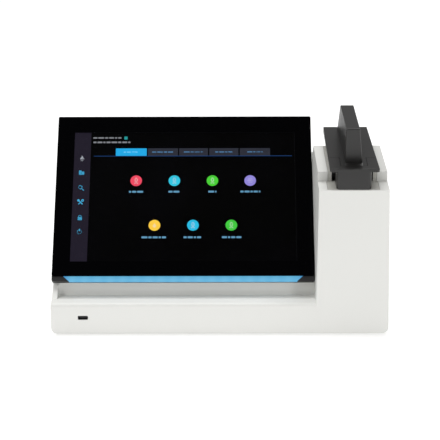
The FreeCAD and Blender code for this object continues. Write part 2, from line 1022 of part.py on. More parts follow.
node(
    "deck_liner",
    cut(
        liner_form,
        liner_hollow,
        head_room,
        rod(d.pedestal_radius + 1, "z", floor, d.fin_top, x=arm, y=pedestal_y),
        rod(d.screw_radius + 2.5, "z", floor, d.liner_floor + 1, x=arm, y=plunger_y),
        *[rod(hinge_hole, "z", floor, d.liner_floor + 1, x=x, y=y) for x, y in hinge_screw_spots],
        rod(d.fibre_radius + d.case_gap, "z", floor, d.liner_floor + 1, x=arm, y=lamp_fibre_y),
    ),
)
pedestal_foot = d.tower_top - d.pad_thick - 8
node(
    "lower_pedestal",
    turned(
        [
            (d.fibre_radius + d.fit_gap, pedestal_foot),
            (d.pedestal_flange, pedestal_foot),
            (d.pedestal_flange, d.tower_top - d.pad_thick),
            (d.pedestal_radius, d.tower_top - d.pad_thick),
            (d.pedestal_radius, pedestal_top - 0.5),
            (d.pedestal_radius - 1.5, pedestal_top),
            (d.fibre_radius + d.fit_gap, pedestal_top),
        ],
        arm,
        pedestal_y,
    ),
)
node(
    "pedestal_ring",
    turned(
        [
            (d.pedestal_radius + d.case_gap, d.tower_top),
            (d.ring_radius, d.tower_top),
            (d.ring_radius - 0.4, d.tower_top + d.ring_thick),
            (d.pedestal_radius + d.case_gap, d.tower_top + d.ring_thick),
        ],
        arm,
        pedestal_y,
    ),
)
optics_top = inside_floor + d.optics_height
fibre_level = inside_floor + d.optics_height / 2
optics_mid = front + (d.optics_front + d.optics_back) / 2
node(
    "fibre_lower",
    bent_tube(
        [
            (arm, pedestal_y, pedestal_top - 0.2),
            (arm, pedestal_y, fibre_level + 24),
            (arm - 14, pedestal_y, fibre_level),
            (optics_right + 9, pedestal_y + 3, fibre_level),
            (optics_right + 8, optics_mid, fibre_level),
            (optics_right - d.optics_wall, optics_mid, fibre_level),
        ],
        d.fibre_radius,
        5,
    ),
)

# Lift drive: a small motor turns a lead screw that lowers the plunger under the arm

chassis_top = d.liner_floor - d.liner_thick
motor_top = chassis_top - d.sheet_thick
motor_low = motor_top - d.motor_height
motor_side = d.motor_width / 2
node(
    "stepper_motor",
    cut(
        fuse(
            box(
                (arm - motor_side, arm + motor_side),
                (plunger_y - motor_side, plunger_y + motor_side),
                (motor_low, motor_top),
            ),
            rod(4, "z", motor_low - 2, motor_low, x=arm, y=plunger_y),
        ),
        rod(d.screw_radius + d.fit_gap, "z", motor_top - d.motor_bore, motor_top + 1, x=arm, y=plunger_y),
    ),
)
plunger_high = d.flank_bottom - d.plunger_gap
node(
    "lead_screw",
    rod(d.screw_radius, "z", motor_top - d.motor_bore + 0.2, d.screw_top, x=arm, y=plunger_y),
)
node(
    "lift_plunger",
    turned(
        [
            (d.screw_radius + d.fit_gap, d.plunger_low + 0.5),
            (d.plunger_radius, d.plunger_low + 0.5),
            (d.plunger_radius, plunger_high - 1),
            (d.plunger_radius - 1, plunger_high),
            (0, plunger_high),
            (0, plunger_high - 2.5),
            (d.screw_radius + d.fit_gap, plunger_high - 2.5),
        ],
        arm,
        plunger_y,
    ),
)
node(
    "plunger_guide",
    turned(
        [
            (d.plunger_radius + d.fit_gap, d.liner_floor),
            (guide_outer, d.liner_floor),
            (guide_outer, d.liner_floor + d.guide_rise - 1),
            (guide_outer - 1, d.liner_floor + d.guide_rise),
            (d.plunger_radius + d.fit_gap, d.liner_floor + d.guide_rise),
        ],
        arm,
        plunger_y,
    ),
)

# Arm cover: the rear shell with its tall fin, and the tongue that runs forward between the head's pads

plan_slope = (d.plate_front - d.plate_rear) / 2 / (d.arm_back + d.plate_overhang)
nose_y = front - d.plate_overhang
tail_y = front + d.arm_back
arm_plan = prism(
    "top",
    [
        (arm - d.plate_front / 2, nose_y),
        (arm + d.plate_front / 2, nose_y),
        (arm + d.plate_rear / 2, tail_y),
        (arm - d.plate_rear / 2, tail_y),
    ],
    d.liner_floor,
    d.fin_top + 5,
)


def flank_section(inset):
    """Front view of the rear shell, drawn in by inset: upright in the channel, spreading above the rails."""
    low = d.flank_half - inset
    high = d.plate_front / 2 - inset * 1.2
    top = d.plate_top if inset == 0 else plate_low
    return [
        (arm - low, d.lug_bottom - (0 if inset == 0 else 1)),
        (arm + low, d.lug_bottom - (0 if inset == 0 else 1)),
        (arm + low, d.flank_top),
        (arm + high, plate_low - (0 if inset == 0 else 0.6)),
        (arm + high, top),
        (arm - high, top),
        (arm - high, plate_low - (0 if inset == 0 else 0.6)),
        (arm - low, d.flank_top),
    ]


seam_y = front + d.seam_back
rear_shell = common(prism("front", flank_section(0), seam_y + d.seam_gap, tail_y), arm_plan)
side_view = prism(
    "side",
    [
        (seam_y, d.flank_bottom),
        (front + d.lug_run, d.flank_bottom),
        (front + d.lug_front, d.lug_bottom),
        (front + d.lug_back, d.lug_bottom),
        (tail_y, d.flank_bottom - 1),
        (tail_y, d.plate_top + 1),
        (seam_y, d.plate_top + 1),
    ],
    arm - d.plate_front,
    arm + d.plate_front,
)
rear_shell = rounded(
    common(rear_shell, side_view),
    1,
    lambda a, b: near(a.z, d.plate_top) and near(b.z, d.plate_top) and a.y + b.y > 2 * number(seam_y) + 2,
)
tail_notch = box(
    (arm - d.flank_half + d.skin, arm + d.flank_half - d.skin),
    (tail_y - d.skin - 1, tail_y + 1),
    (d.lug_bottom - 1, d.tail_bottom),
)
shell_hollow = prism("front", flank_section(d.skin), seam_y - 1, tail_y - d.skin)
tongue = box(
    (arm - d.tongue_half, arm + d.tongue_half),
    (front + d.tongue_front, seam_y + 1),
    (plate_low, d.plate_top),
)
fin_outline = [
    (front + d.fin_foot - d.fin_toe, d.plate_top - 1),
    (front + d.fin_foot - d.fin_toe, d.plate_top),
    (front + d.fin_foot, d.plate_top + d.fin_toe_rise),
    (front + d.fin_front, d.fin_top),
    (front + d.fin_back, d.fin_top - d.fin_fall),
    (front + d.fin_heel, d.plate_top),
    (front + d.fin_heel, d.plate_top - 1),
]
fin_high = d.fin_top + 5
fin_lean = (d.fin_base - d.fin_crest) / 2 / (d.fin_top - d.plate_top)
fin_slant = d.fin_shift / (d.fin_top - d.plate_top)
foot_x = arm + fin_slant * 2
crest_x = arm - fin_slant * (fin_high - d.plate_top)


def fin_section(inset):
    low = d.fin_base / 2 - inset + fin_lean * 2
    high = d.fin_base / 2 - inset - fin_lean * (fin_high - d.plate_top)
    return [
        (foot_x - low, d.plate_top - 2),
        (foot_x + low, d.plate_top - 2),
        (crest_x + high, fin_high),
        (crest_x - high, fin_high),
    ]


fin_body = prism("side", fin_outline, arm - d.tongue_half, arm + d.tongue_half)
fin = common(fin_body, prism("front", fin_section(0), front, tail_y))
fin = rounded(
    fin,
    d.fin_round,
    lambda a, b: min(a.z, b.z) > number(d.fin_top) - 3
    or (abs(a.x - b.x) < 5 and abs(a.y - b.y) < 9 and abs(a.z - b.z) > 20),
)
fin_hollow = common(
    prism(
        "side",
        [
            (front + d.fin_foot + 2, d.plate_top - 4),
            (front + d.fin_foot + 2, d.plate_top + 4),
            (front + d.fin_front + 3, d.fin_top - 3),
            (front + d.fin_back - 2, d.fin_top - d.fin_fall - 3),
            (front + d.fin_heel - 9, d.plate_top + 2),
            (front + d.fin_heel - 9, d.plate_top - 4),
        ],
        arm - d.tongue_half,
        arm + d.tongue_half,
    ),
    prism("front", fin_section(2.2), front, tail_y),
)
cover_bosses = [(arm + side * 9, front + y) for side in (-1, 1) for y in (38, 76)]
lug_holes = rod(d.pin_radius + 0.5, "x", arm - d.liner_outer, arm + d.liner_outer, y=hinge_y, z=hinge_z)
boss_drills = [rod(d.thread_radius, "z", frame_high - 1, d.plate_top - 1, x=x, y=y) for x, y in cover_bosses]
node(
    "arm_cover",
    cut(
        fuse(
            cut(rear_shell, shell_hollow, tail_notch),
            tongue,
            fin,
            *[rod(d.boss_radius, "z", frame_high, plate_low + 0.5, x=x, y=y) for x, y in cover_bosses]
        ),
        fin_hollow,
        lug_holes,
        *boss_drills
    ),
)

# Arm head: the front box with the two pads of the top plate around the tongue

head_plate = rounded(
    common(
        box((arm - d.plate_front, arm + d.plate_front), (nose_y, seam_y), (plate_low, d.plate_top)),
        arm_plan,
    ),
    d.plate_corner,
    lambda a, b: along_z(a, b) and near(a.y, nose_y),
)
head_plate = rounded(
    head_plate,
    d.plate_round,
    lambda a, b: near(a.y, nose_y) and near(b.y, nose_y) and near(a.z, d.plate_top) and near(b.z, d.plate_top),
)
head_plate = cut(
    head_plate,
    box(
        (arm - d.tongue_half - d.tongue_gap, arm + d.tongue_half + d.tongue_gap),
        (front + d.tongue_front - d.tongue_gap, seam_y + 1),
        (plate_low - 1, d.plate_top + 1),
    ),
)
head_box = rounded(
    box((arm - d.head_half, arm + d.head_half), (front, front + d.head_back), (head_low, plate_low)),
    d.head_round,
    lambda a, b: along_z(a, b) and near(a.y, front),
)
head_room_in = rounded(
    box(
        (arm - d.head_half + d.skin, arm + d.head_half - d.skin),
        (front + d.skin, front + d.head_back + 1),
        (head_low + d.skin, plate_low),
    ),
    d.head_round - d.skin,
    lambda a, b: along_z(a, b) and near(a.y, front + d.skin),
)
head_boss_x = d.tongue_half - 1
head_bosses = [(arm + side * head_boss_x, front + 9) for side in (-1, 1)]
boss_blocks = [
    box((x - 3 + side * 0.5, x + 3 + side * 0.5), (y - 3, y + 3), (frame_high, plate_low))
    for side, (x, y) in zip((-1, 1), head_bosses)
]
node(
    "arm_head",
    cut(
        fuse(head_plate, cut(head_box, head_room_in), *boss_blocks),
        rod(d.head_bore, "z", head_low - 1, head_low + d.skin + 1, x=arm, y=pedestal_y),
        *[rod(d.thread_radius, "z", frame_high - 1, plate_low + 1.5, x=x, y=y) for x, y in head_bosses]
    ),
)

# Arm frame: the metal beam between the head and the two hinge lugs

frame_x = (arm - d.frame_half, arm + d.frame_half)
lug_in = d.knuckle_half + d.lug_gap
lug_out = lug_in + d.lug_thick
lug_blocks = []
for side in (-1, 1):
    low, high = sorted((arm + lug_in * side, arm + lug_out * side), key=number)
    lug_blocks.append(rod(d.knuckle, "x", low, high, y=hinge_y, z=hinge_z))
    lug_blocks.append(box((low, high), (hinge_y - d.knuckle, hinge_y + d.knuckle), (hinge_z, frame_high)))
frame_plate = padded_plate(
    rectangle(frame_x, (front + d.frame_front, hinge_y + d.knuckle)),
    d.frame_low,
    frame_high,
    [(x, y, d.thread_radius + d.case_gap) for x, y in cover_bosses + head_bosses]
    + [(arm, pedestal_y, d.fibre_radius + 0.4)],
)
node(
    "arm_frame",
    cut(
        fuse(frame_plate, *lug_blocks),
        rod(d.pin_radius + d.fit_gap, "x", arm - d.liner_outer, arm + d.liner_outer, y=hinge_y, z=hinge_z),
    ),
)
node(
    "arm_bottom_cover",
    box(
        (arm - d.flank_half + d.skin + 0.15, arm + d.flank_half - d.skin - 0.15),
        (front + d.head_back + 0.3, front + d.lug_run + 1),
        (d.flank_bottom, d.flank_bottom + d.under_thick),
    ),
)
arm_thread = d.thread_radius - d.fit_gap
cover_shank = plate_low - d.frame_low + 1
head_shank = plate_low - d.frame_low - 0.3
arm_screws = []
for spots, shank in ((cover_bosses, cover_shank), (head_bosses, head_shank)):
    for x, y in spots:
        arm_screws.append(screw(d.pan_radius, d.pan_high, arm_thread, shank, x, y, d.frame_low))
node("arm_screws", group(*arm_screws))
upper_low = pedestal_top + d.path_length
node(
    "upper_pedestal",
    turned(
        [
            (d.fibre_radius + d.fit_gap, upper_low),
            (d.pedestal_radius - 1.5, upper_low),
            (d.pedestal_radius, upper_low + 0.5),
            (d.pedestal_radius, d.frame_low - 2.5),
            (d.pedestal_flange, d.frame_low - 2.5),
            (d.pedestal_flange, d.frame_low),
            (d.fibre_radius + d.fit_gap, d.frame_low),
        ],
        arm,
        pedestal_y,
    ),
)
upper_fibre_z = frame_high + d.fibre_radius + 0.2
node(
    "fibre_upper",
    bent_tube(
        [
            (arm, pedestal_y, upper_low + 0.1),
            (arm, pedestal_y, upper_fibre_z),
            (arm, hinge_y - 12, upper_fibre_z),
        ],
        d.fibre_radius,
        1.6,
    ),
)

# Hinge: a block fixed in the channel and the pin through it

node(
    "hinge_block",
    cut(
        fuse(
            rod(d.knuckle, "x", arm - d.knuckle_half, arm + d.knuckle_half, y=hinge_y, z=hinge_z),
            box(
                (arm - d.knuckle_half, arm + d.knuckle_half),
                (hinge_y - d.knuckle, hinge_y + d.knuckle - 3),
                (d.liner_floor, hinge_z),
            ),
        ),
        rod(d.pin_radius, "x", arm - d.liner_outer, arm + d.liner_outer, y=hinge_y, z=hinge_z),
        *[rod(d.thread_radius, "z", floor, d.liner_floor + 6, x=x, y=y) for x, y in hinge_screw_spots]
    ),
)
node(
    "hinge_pin",
    rod(d.pin_radius, "x", arm - lug_out - 0.5, arm + lug_out + 0.5, y=hinge_y, z=hinge_z),
)
node(
    "hinge_screws",
    group(
        *[
            screw(d.pan_radius, d.pan_high, arm_thread, d.hinge_shank, x, y, motor_top)
            for x, y in hinge_screw_spots
        ]
    ),
)

# Chassis: the folded frame on the base plate that carries the channel, the motor and the lamp

chassis_y = (front + d.chassis_front, front + d.chassis_back)
chassis_in = d.chassis_half - d.sheet_thick
node(
    "tower_chassis",
    cut(
        fuse(
            box((arm - d.chassis_half, arm - chassis_in), chassis_y, (inside_floor, chassis_top)),
            box((arm + chassis_in, arm + d.chassis_half), chassis_y, (inside_floor, chassis_top)),
            box((arm - chassis_in, arm + chassis_in), chassis_y, (motor_top, chassis_top)),
        ),
        rod(d.screw_radius + 2.5, "z", floor, d.liner_floor, x=arm, y=plunger_y),
        *[rod(hinge_hole, "z", floor, d.liner_floor, x=x, y=y) for x, y in hinge_screw_spots],
        rod(d.fibre_radius + d.case_gap, "z", floor, d.liner_floor, x=arm, y=lamp_fibre_y),
        box(
            (arm - d.chassis_half - 1, arm + d.chassis_half + 1),
            (optics_mid - 8, optics_mid + 8),
            (fibre_level - 6, fibre_level + 6),
        ),
    ),
)

# Lamp: the flash module with its window, and the fibre from it up to the hinge

lamp_x = (arm - chassis_in, arm + chassis_in - 8)
lamp_y = (front + d.lamp_front, front + d.lamp_back)
lens_low = d.lamp_high - d.lens_deep
node(
    "flash_lamp",
    cut(
        box(lamp_x, lamp_y, (d.lamp_low, d.lamp_high)),
        rod(d.lens_radius, "z", lens_low, d.lamp_high + 1, x=arm, y=lamp_fibre_y),
    ),
)
lens_fit = d.lens_radius - d.fit_gap
node("lamp_window", rod(lens_fit, "z", lens_low, lens_low + 2, x=arm, y=lamp_fibre_y))
node(
    "lamp_ferrule",
    turned(
        [
            (d.fibre_radius + d.fit_gap, lens_low + 2),
            (lens_fit, lens_low + 2),
            (lens_fit, d.lamp_high),
            (d.lens_radius + 2, d.lamp_high),
            (d.lens_radius + 2, d.lamp_high + 2),
            (4, d.lamp_high + 6),
            (d.fibre_radius + d.fit_gap, d.lamp_high + 6),
        ],
        arm,
        lamp_fibre_y,
    ),
)
node(
    "fibre_lamp",
    rod(d.fibre_radius, "z", d.lamp_high - 5.5, hinge_z - 4, x=arm, y=lamp_fibre_y),
)

# Spectrometer: a closed bench with a grating, a mirror and a detector board under its lid

optics_x = (optics_left, optics_right)
optics_y = (front + d.optics_front, front + d.optics_back)
wall_in = d.optics_wall
fibre_hole = d.fibre_radius + d.fit_gap
node(
    "spectrometer_body",
    cut(
        rounded(box(optics_x, optics_y, (inside_floor, optics_top)), 4, lambda a, b: along_z(a, b)),
        box(
            (optics_x[0] + wall_in, optics_x[1] - wall_in),
            (optics_y[0] + wall_in, optics_y[1] - wall_in),
            (inside_floor + wall_in, optics_top + 1),
        ),
        rod(fibre_hole, "x", optics_right - wall_in - 1, optics_right + 1, y=optics_mid, z=fibre_level),
    ),
)
node(
    "spectrometer_lid",
    padded_plate(rectangle(optics_x, optics_y), optics_top, optics_top + 2),
)
node(
    "grating_mount",
    fuse(
        box(
            (optics_x[0] + wall_in, optics_x[0] + wall_in + 14),
            (optics_mid - 10, optics_mid + 10),
            (inside_floor + wall_in, inside_floor + wall_in + 4),
        ),
        box(
            (optics_x[0] + wall_in + 2, optics_x[0] + wall_in + 6),
            (optics_mid - 9, optics_mid + 9),
            (inside_floor + wall_in + 4, optics_top - 4),
        ),
    ),
)
node(
    "grating",
    box(
        (optics_x[0] + wall_in + 6, optics_x[0] + wall_in + 8),
        (optics_mid - 8, optics_mid + 8),
        (inside_floor + wall_in + 4, optics_top - 6),
    ),
)
node(
    "detector_board",
    box(
        (optics_x[1] - wall_in - 40, optics_x[1] - wall_in - 10),
        (optics_y[1] - wall_in - 1.6, optics_y[1] - wall_in),
        (inside_floor + wall_in, optics_top - 3),
    ),
)
node(
    "detector_array",
    box(
        (optics_x[1] - wall_in - 38, optics_x[1] - wall_in - 12),
        (optics_y[1] - wall_in - 4.6, optics_y[1] - wall_in - 1.6),
        (fibre_level - 4, fibre_level + 4),
    ),
)

# Electronics: the main board on its standoffs, with its larger parts

board_x = (board_left, board_right)
board_y = (board_front, board_back)
inset = d.standoff_inset
standoff_rows = (board_front + inset, board_back - inset)
standoff_spots = [(x, y) for x in (board_left + inset, board_right - inset) for y in standoff_rows]
# From the board's left, from its front, width, depth and height
BOARD_PARTS = {
    "heat_sink": (24, 12, 34, 34, 9),
    "processor": (66, 14, 14, 14, 1.6),
    "memory": (66, 34, 18, 10, 1.2),
    "power_coil": (24, 52, 12, 12, 10),
}
board_parts = [
    box(
        (board_left + x, board_left + x + wide),
        (board_front + y, board_front + y + deep),
        (board_top, board_top + tall),
    )
    for x, y, wide, deep, tall in BOARD_PARTS.values()
]
node(
    "main_board",
    fuse(
        padded_plate(
            rectangle(board_x, board_y), d.board_up, board_top, [(x, y, 1.4) for x, y in standoff_spots]
        ),
        *board_parts
    ),
)
standoff_section = [
    (d.standoff_bore, inside_floor),
    (d.standoff_radius, inside_floor),
    (d.standoff_radius, d.board_up),
    (d.standoff_bore, d.board_up),
]
node(
    "board_standoffs",
    group(
        *[
            turned(standoff_section, x, y)
            for x, y in standoff_spots
        ]
    ),
)
node(
    "board_screws",
    group(
        *[
            screw(d.board_head, d.board_head_high, d.board_thread, d.board_shank, x, y, board_top, up=False)
            for x, y in standoff_spots
        ]
    ),
)

# Front port: a small socket behind its hole in the housing, on a board of its own

port_x = (port_across - d.port_width / 2 + 0.2, port_across + d.port_width / 2 - 0.2)
port_z = (d.port_up - d.port_height / 2 + 0.2, d.port_up + d.port_height / 2 - 0.2)
socket = cut(
    rounded(box(port_x, (front + 0.4, front + 0.4 + d.port_deep), port_z), 0.9, lambda a, b: along_y(a, b)),
    box(
        (port_x[0] + 0.5, port_x[1] - 0.5),
        (front, front + d.port_deep - 1),
        (port_z[0] + 0.5, port_z[1] - 0.5),
    ),
)
node(
    "front_usb_port",
    fuse(
        socket,
        box(
            (port_across - 3.2, port_across + 3.2),
            (front + 1.4, front + d.port_deep),
            (d.port_up - 0.35, d.port_up + 0.35),
        ),
    ),
)
port_board_y = (front + d.wall + 0.4, front + 26)
node(
    "front_port_board",
    box((port_across - 9, port_across + 9), port_board_y, (port_z[0] - 1.2, port_z[0])),
)
node(
    "port_stand",
    fuse(
        *[
            box((x - 2.5, x + 2.5), (front + 14, front + 24), (inside_floor, port_z[0] - 1.2))
            for x in (port_across - 6, port_across + 6)
        ]
        + [
            box(
                (port_across - 6, port_across + 6), (front + 14, front + 24), (inside_floor, inside_floor + 2)
            )
        ]
    ),
)

# Back panel: a recessed sheet with the power socket, the switch, the data ports and the fan grille

panel_y = (panel_inner, panel_face)
usb_x = (usb_across - d.usb_half, usb_across + d.usb_half)
usb_z = (board_top, board_top + d.usb_high)
net_x = (net_across - d.net_half, net_across + d.net_half)
net_z = (board_top, board_top + d.net_high)
switch_x = (switch_across - d.switch_half, switch_across + d.switch_half)
switch_z = (d.switch_up - d.switch_half_high, d.switch_up + d.switch_half_high)
slot_pitch = d.fan_size / (d.slot_count + 1)
through_panel = (panel_inner - 1, panel_face + 1)
slots = []
slot_number = int(round(d.slot_count.value))
for index in range(slot_number):
    slot_x = fan_across + (index - (slot_number - 1) / 2) * slot_pitch
    reach = math.sqrt(1 - ((index - (slot_number - 1) / 2) / (slot_number / 2)) ** 2)
    slot_half = (d.fan_bore - 1) * reach
    slots.append(
        box((slot_x - 1.2, slot_x + 1.2), through_panel, (d.fan_up - slot_half, d.fan_up + slot_half))
    )
fan_screw_reach = d.fan_size / 2 - 3.5
fan_screw_spots = [
    (fan_across + i * fan_screw_reach, d.fan_up + k * fan_screw_reach) for i in (-1, 1) for k in (-1, 1)
]
panel_hole = d.panel_thread + 0.15
fan_hole = d.fan_thread + 0.1


def widened(span, gap):
    return (span[0] - gap, span[1] + gap)


node(
    "rear_panel",
    cut(
        box((panel_left, panel_right), panel_y, (d.panel_low, d.panel_high)),
        rod(d.jack_barrel + 0.1, "y", *through_panel, x=jack_across, z=d.jack_up),
        box(widened(switch_x, 0.2), through_panel, widened(switch_z, 0.2)),
        box(widened(usb_x, d.case_gap), through_panel, widened(usb_z, d.case_gap)),
        box(widened(net_x, d.case_gap), through_panel, widened(net_z, d.case_gap)),
        *[rod(panel_hole, "y", *through_panel, x=x, z=z) for x, z in panel_screw_spots],
        *slots + [rod(fan_hole, "y", *through_panel, x=x, z=z) for x, z in fan_screw_spots]
    ),
)
fan_y = (panel_inner - d.fan_deep, panel_inner)
fan_low, fan_out = fan_y
struts = [
    box(
        (fan_across - 1, fan_across + 1), (fan_low, fan_low + 1.5), (d.fan_up, d.fan_up + d.fan_bore + 0.5)
    ),
    box(
        (fan_across - 1, fan_across + 1), (fan_low, fan_low + 1.5), (d.fan_up - d.fan_bore - 0.5, d.fan_up)
    ),
    box(
        (fan_across, fan_across + d.fan_bore + 0.5), (fan_low, fan_low + 1.5), (d.fan_up - 1, d.fan_up + 1)
    ),
]
fan_half = d.fan_size / 2
node(
    "fan_frame",
    cut(
        fuse(
            cut(
                box(
                    (fan_across - fan_half, fan_across + fan_half),
                    fan_y,
                    (d.fan_up - fan_half, d.fan_up + fan_half),
                ),
                rod(d.fan_bore, "y", fan_low - 1, fan_out + 1, x=fan_across, z=d.fan_up),
            ),
            rod(8.5, "y", fan_low, fan_low + 1.5, x=fan_across, z=d.fan_up),
            rod(3.2, "y", fan_low, fan_low + 6, x=fan_across, z=d.fan_up),
            *struts
        ),
        rod(d.fan_shaft + d.fit_gap, "y", fan_low - 1, fan_out, x=fan_across, z=d.fan_up),
        *[rod(fan_hole, "y", fan_low - 1, fan_out + 1, x=x, z=z) for x, z in fan_screw_spots]
    ),
)
blade_number = int(round(d.blade_count.value))
blades = []
for index in range(blade_number):
    blade = box((d.fan_hub - 1, d.fan_bore - 0.8), (-0.5, 0.5), (-3, 3))
    blade.Placement = FreeCAD.Placement(
        Vector(0, 0, 0), FreeCAD.Rotation(Vector(1, 0, 0), 50)
    )
    tie(blade, "Placement.Base.x", d.fan_hub - 1)
    arm_of_blade = doc.addObject("Part::Compound", "blade")
    arm_of_blade.Links = [blade]
    arm_of_blade.Placement = FreeCAD.Placement(
        Vector(0, 0, 0), FreeCAD.Rotation(Vector(0, 0, 1), 360.0 * index / blade_number)
    )
    blades.append(arm_of_blade)
rotor_blades = doc.addObject("Part::Compound", "blades")
rotor_blades.Links = blades
rotor_blades.Placement = FreeCAD.Placement(Vector(0, 0, 0), FreeCAD.Rotation(Vector(1, 0, 0), -90))
place(rotor_blades, fan_across, fan_low + 6.3, d.fan_up)
node(
    "fan_rotor",
    fuse(
        cut(
            rod(d.fan_hub, "y", fan_low + 2, fan_out - 1, x=fan_across, z=d.fan_up),
            rod(d.fan_hub - 1.2, "y", fan_low + 1, fan_out - 2.4, x=fan_across, z=d.fan_up),
        ),
        rod(d.fan_shaft, "y", fan_low + 1, fan_out - 2, x=fan_across, z=d.fan_up),
        rotor_blades,
    ),
)


def screw_from_back(head_radius, head, radius, length, x, z, y, inwards=True):
    """A screw along Y. y is under the head; inwards says that the shank points to the front."""
    if inwards:
        return fuse(rod(head_radius, "y", y, y + head, x=x, z=z), rod(radius, "y", y - length, y, x=x, z=z))
    return fuse(rod(head_radius, "y", y - head, y, x=x, z=z), rod(radius, "y", y, y + length, x=x, z=z))


node(
    "fan_screws",
    group(
        *[
            screw_from_back(d.fan_head, d.fan_head_high, d.fan_thread, d.fan_shank, x, z, panel_face)
            for x, z in fan_screw_spots
        ]
    ),
)
node(
    "panel_screws",
    group(
        *[
            screw_from_back(
                d.panel_head, d.panel_head_high, d.panel_thread, d.panel_shank, x, z, panel_inner, False
            )
            for x, z in panel_screw_spots
        ]
    ),
)
jack = {"x": jack_across, "z": d.jack_up}
node(
    "power_jack",
    fuse(
        cut(
            fuse(
                rod(d.jack_face, "y", panel_face, panel_face + d.jack_proud, **jack),
                rod(d.jack_barrel, "y", panel_inner - d.jack_deep, panel_face + 0.5, **jack),
                rod(d.jack_nut, "y", panel_inner - 2, panel_inner, **jack),
            ),
            rod(d.jack_bore, "y", panel_inner - d.jack_deep + 1, panel_face + 2, **jack),
        ),
        rod(d.jack_pin, "y", panel_inner - d.jack_deep + 0.5, panel_face, **jack),
    ),
)
pivot_y = panel_face - 5
node(
    "power_switch_body",
    cut(
        fuse(
            box(switch_x, (panel_inner - d.switch_deep, panel_face + 0.5), switch_z),
            box(
                (switch_across - d.bezel_half, switch_across + d.bezel_half),
                (panel_face, panel_face + d.bezel_thick),
                (d.switch_up - d.bezel_half_high, d.switch_up + d.bezel_half_high),
            ),
        ),
        box(
            (switch_across - d.rocker_room, switch_across + d.rocker_room),
            (pivot_y - 5, panel_face + 2),
            (d.switch_up - d.rocker_room_high, d.switch_up + d.rocker_room_high),
        ),
        rod(d.rocker_pin + d.fit_gap, "x", switch_x[0] - 1, switch_x[1] + 1, y=pivot_y, z=d.switch_up),
    ),
)
rocker_end = d.rocker_middle + d.rocker_reach * slope_of(d.rocker_tilt)
rocker = fuse(
    prism(
        "side",
        [
            (d.rocker_middle, 0),
            (rocker_end, d.rocker_reach),
            (-1, d.rocker_reach - 1),
            (-3, 2),
            (-3, -2),
            (-1, 1 - d.rocker_reach),
            (rocker_end, -d.rocker_reach),
        ],
        -d.rocker_half,
        d.rocker_half,
    ),
    rod(d.rocker_pin, "x", -6, 6),
)
rocker.Placement = FreeCAD.Placement(Vector(0, 0, 0), FreeCAD.Rotation(Vector(1, 0, 0), -8))
tie(rocker, "Placement.Rotation.Angle", -d.rocker_tilt)
node("power_rocker", place(rocker, switch_across, pivot_y, d.switch_up))
port_y = (panel_face - d.socket_deep, panel_face + d.socket_proud)
usb_rooms = [
    box(
        (usb_across - d.usb_room, usb_across + d.usb_room),
        (port_y[0] + 2, port_y[1] + 1),
        (board_top + z, board_top + z + d.usb_room_high),
    )
    for z in (1.5, 8.9)
]
usb_tongues = [
    box(
        (usb_across - d.usb_tongue, usb_across + d.usb_tongue),
        (port_y[0] + 1, port_y[1] - 1.5),
        (board_top + z, board_top + z + d.usb_tongue_thick),
    )
    for z in (4.0, 11.4)
]
node("rear_usb_ports", fuse(cut(box(usb_x, port_y, usb_z), *usb_rooms), *usb_tongues))
net_room = fuse(
    box(
        (net_across - d.net_room, net_across + d.net_room),
        (port_y[0] + 2, port_y[1] + 1),
        (board_top + 4, board_top + 12),
    ),
    box(
        (net_across - d.net_room / 2, net_across + d.net_room / 2),
        (port_y[0] + 2, port_y[1] + 1),
        (board_top + 1.2, board_top + 4.5),
    ),
)
net_contacts = [
    box(
        (net_across - 3.7 + index, net_across - 3.3 + index),
        (port_y[0] + 2, port_y[1] - 3),
        (board_top + 11.2, board_top + 12.2),
    )
    for index in range(int(round(d.net_contacts.value)))
]
node("ethernet_port", fuse(cut(box(net_x, port_y, net_z), net_room), *net_contacts))


# Test every object, then write one file for each node

doc.recompute()
for thing in doc.Objects:
    if "Invalid" in thing.State or "Error" in thing.State:
        raise RuntimeError("%s (%s) failed: %s" % (thing.Name, thing.Label, thing.State))
for thing in checked_cuts:
    if thing.Base.Shape.Volume - thing.Shape.Volume < 0.01:
        raise RuntimeError("%s took nothing away" % thing.Name)
for thing in nodes:
    if thing.Shape.isNull() or not thing.Shape.isValid() or not thing.Shape.Solids:
        raise RuntimeError("%s has no valid solid" % thing.Label)
os.makedirs("parts", exist_ok=True)
for thing in nodes:
    thing.Shape.exportStep("parts/%s.step" % thing.Label)
print("%d nodes" % len(nodes))
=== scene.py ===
import json
import math

import bpy
from mathutils import Matrix, Vector


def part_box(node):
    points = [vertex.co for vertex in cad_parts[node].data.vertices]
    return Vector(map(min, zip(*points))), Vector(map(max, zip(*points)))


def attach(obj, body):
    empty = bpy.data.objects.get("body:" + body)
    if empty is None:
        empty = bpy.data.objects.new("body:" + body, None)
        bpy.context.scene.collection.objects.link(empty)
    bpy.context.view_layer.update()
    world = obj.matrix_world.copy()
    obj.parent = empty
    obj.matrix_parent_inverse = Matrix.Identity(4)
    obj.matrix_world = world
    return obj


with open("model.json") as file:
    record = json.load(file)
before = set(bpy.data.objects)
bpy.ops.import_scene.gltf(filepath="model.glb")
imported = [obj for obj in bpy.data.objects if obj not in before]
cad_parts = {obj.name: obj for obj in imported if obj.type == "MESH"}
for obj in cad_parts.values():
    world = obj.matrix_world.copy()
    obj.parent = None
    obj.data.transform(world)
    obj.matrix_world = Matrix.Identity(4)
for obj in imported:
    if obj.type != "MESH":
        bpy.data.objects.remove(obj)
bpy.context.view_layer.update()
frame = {"nodes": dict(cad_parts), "record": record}

MM = 0.001
NODES = frame["nodes"]


# Camera at the photograph's place and angle

PHOTO_SIDE = 440
FOCAL_PIXELS = 1394.6
SENSOR_MM = 36.0
CAMERA_PLACE = Vector((7.0, -1275.65, 619.5)) * MM
CAMERA_REACH = 20
PITCH = math.radians(23.07)
YAW = math.radians(-0.30)
ROLL = math.radians(-0.23)


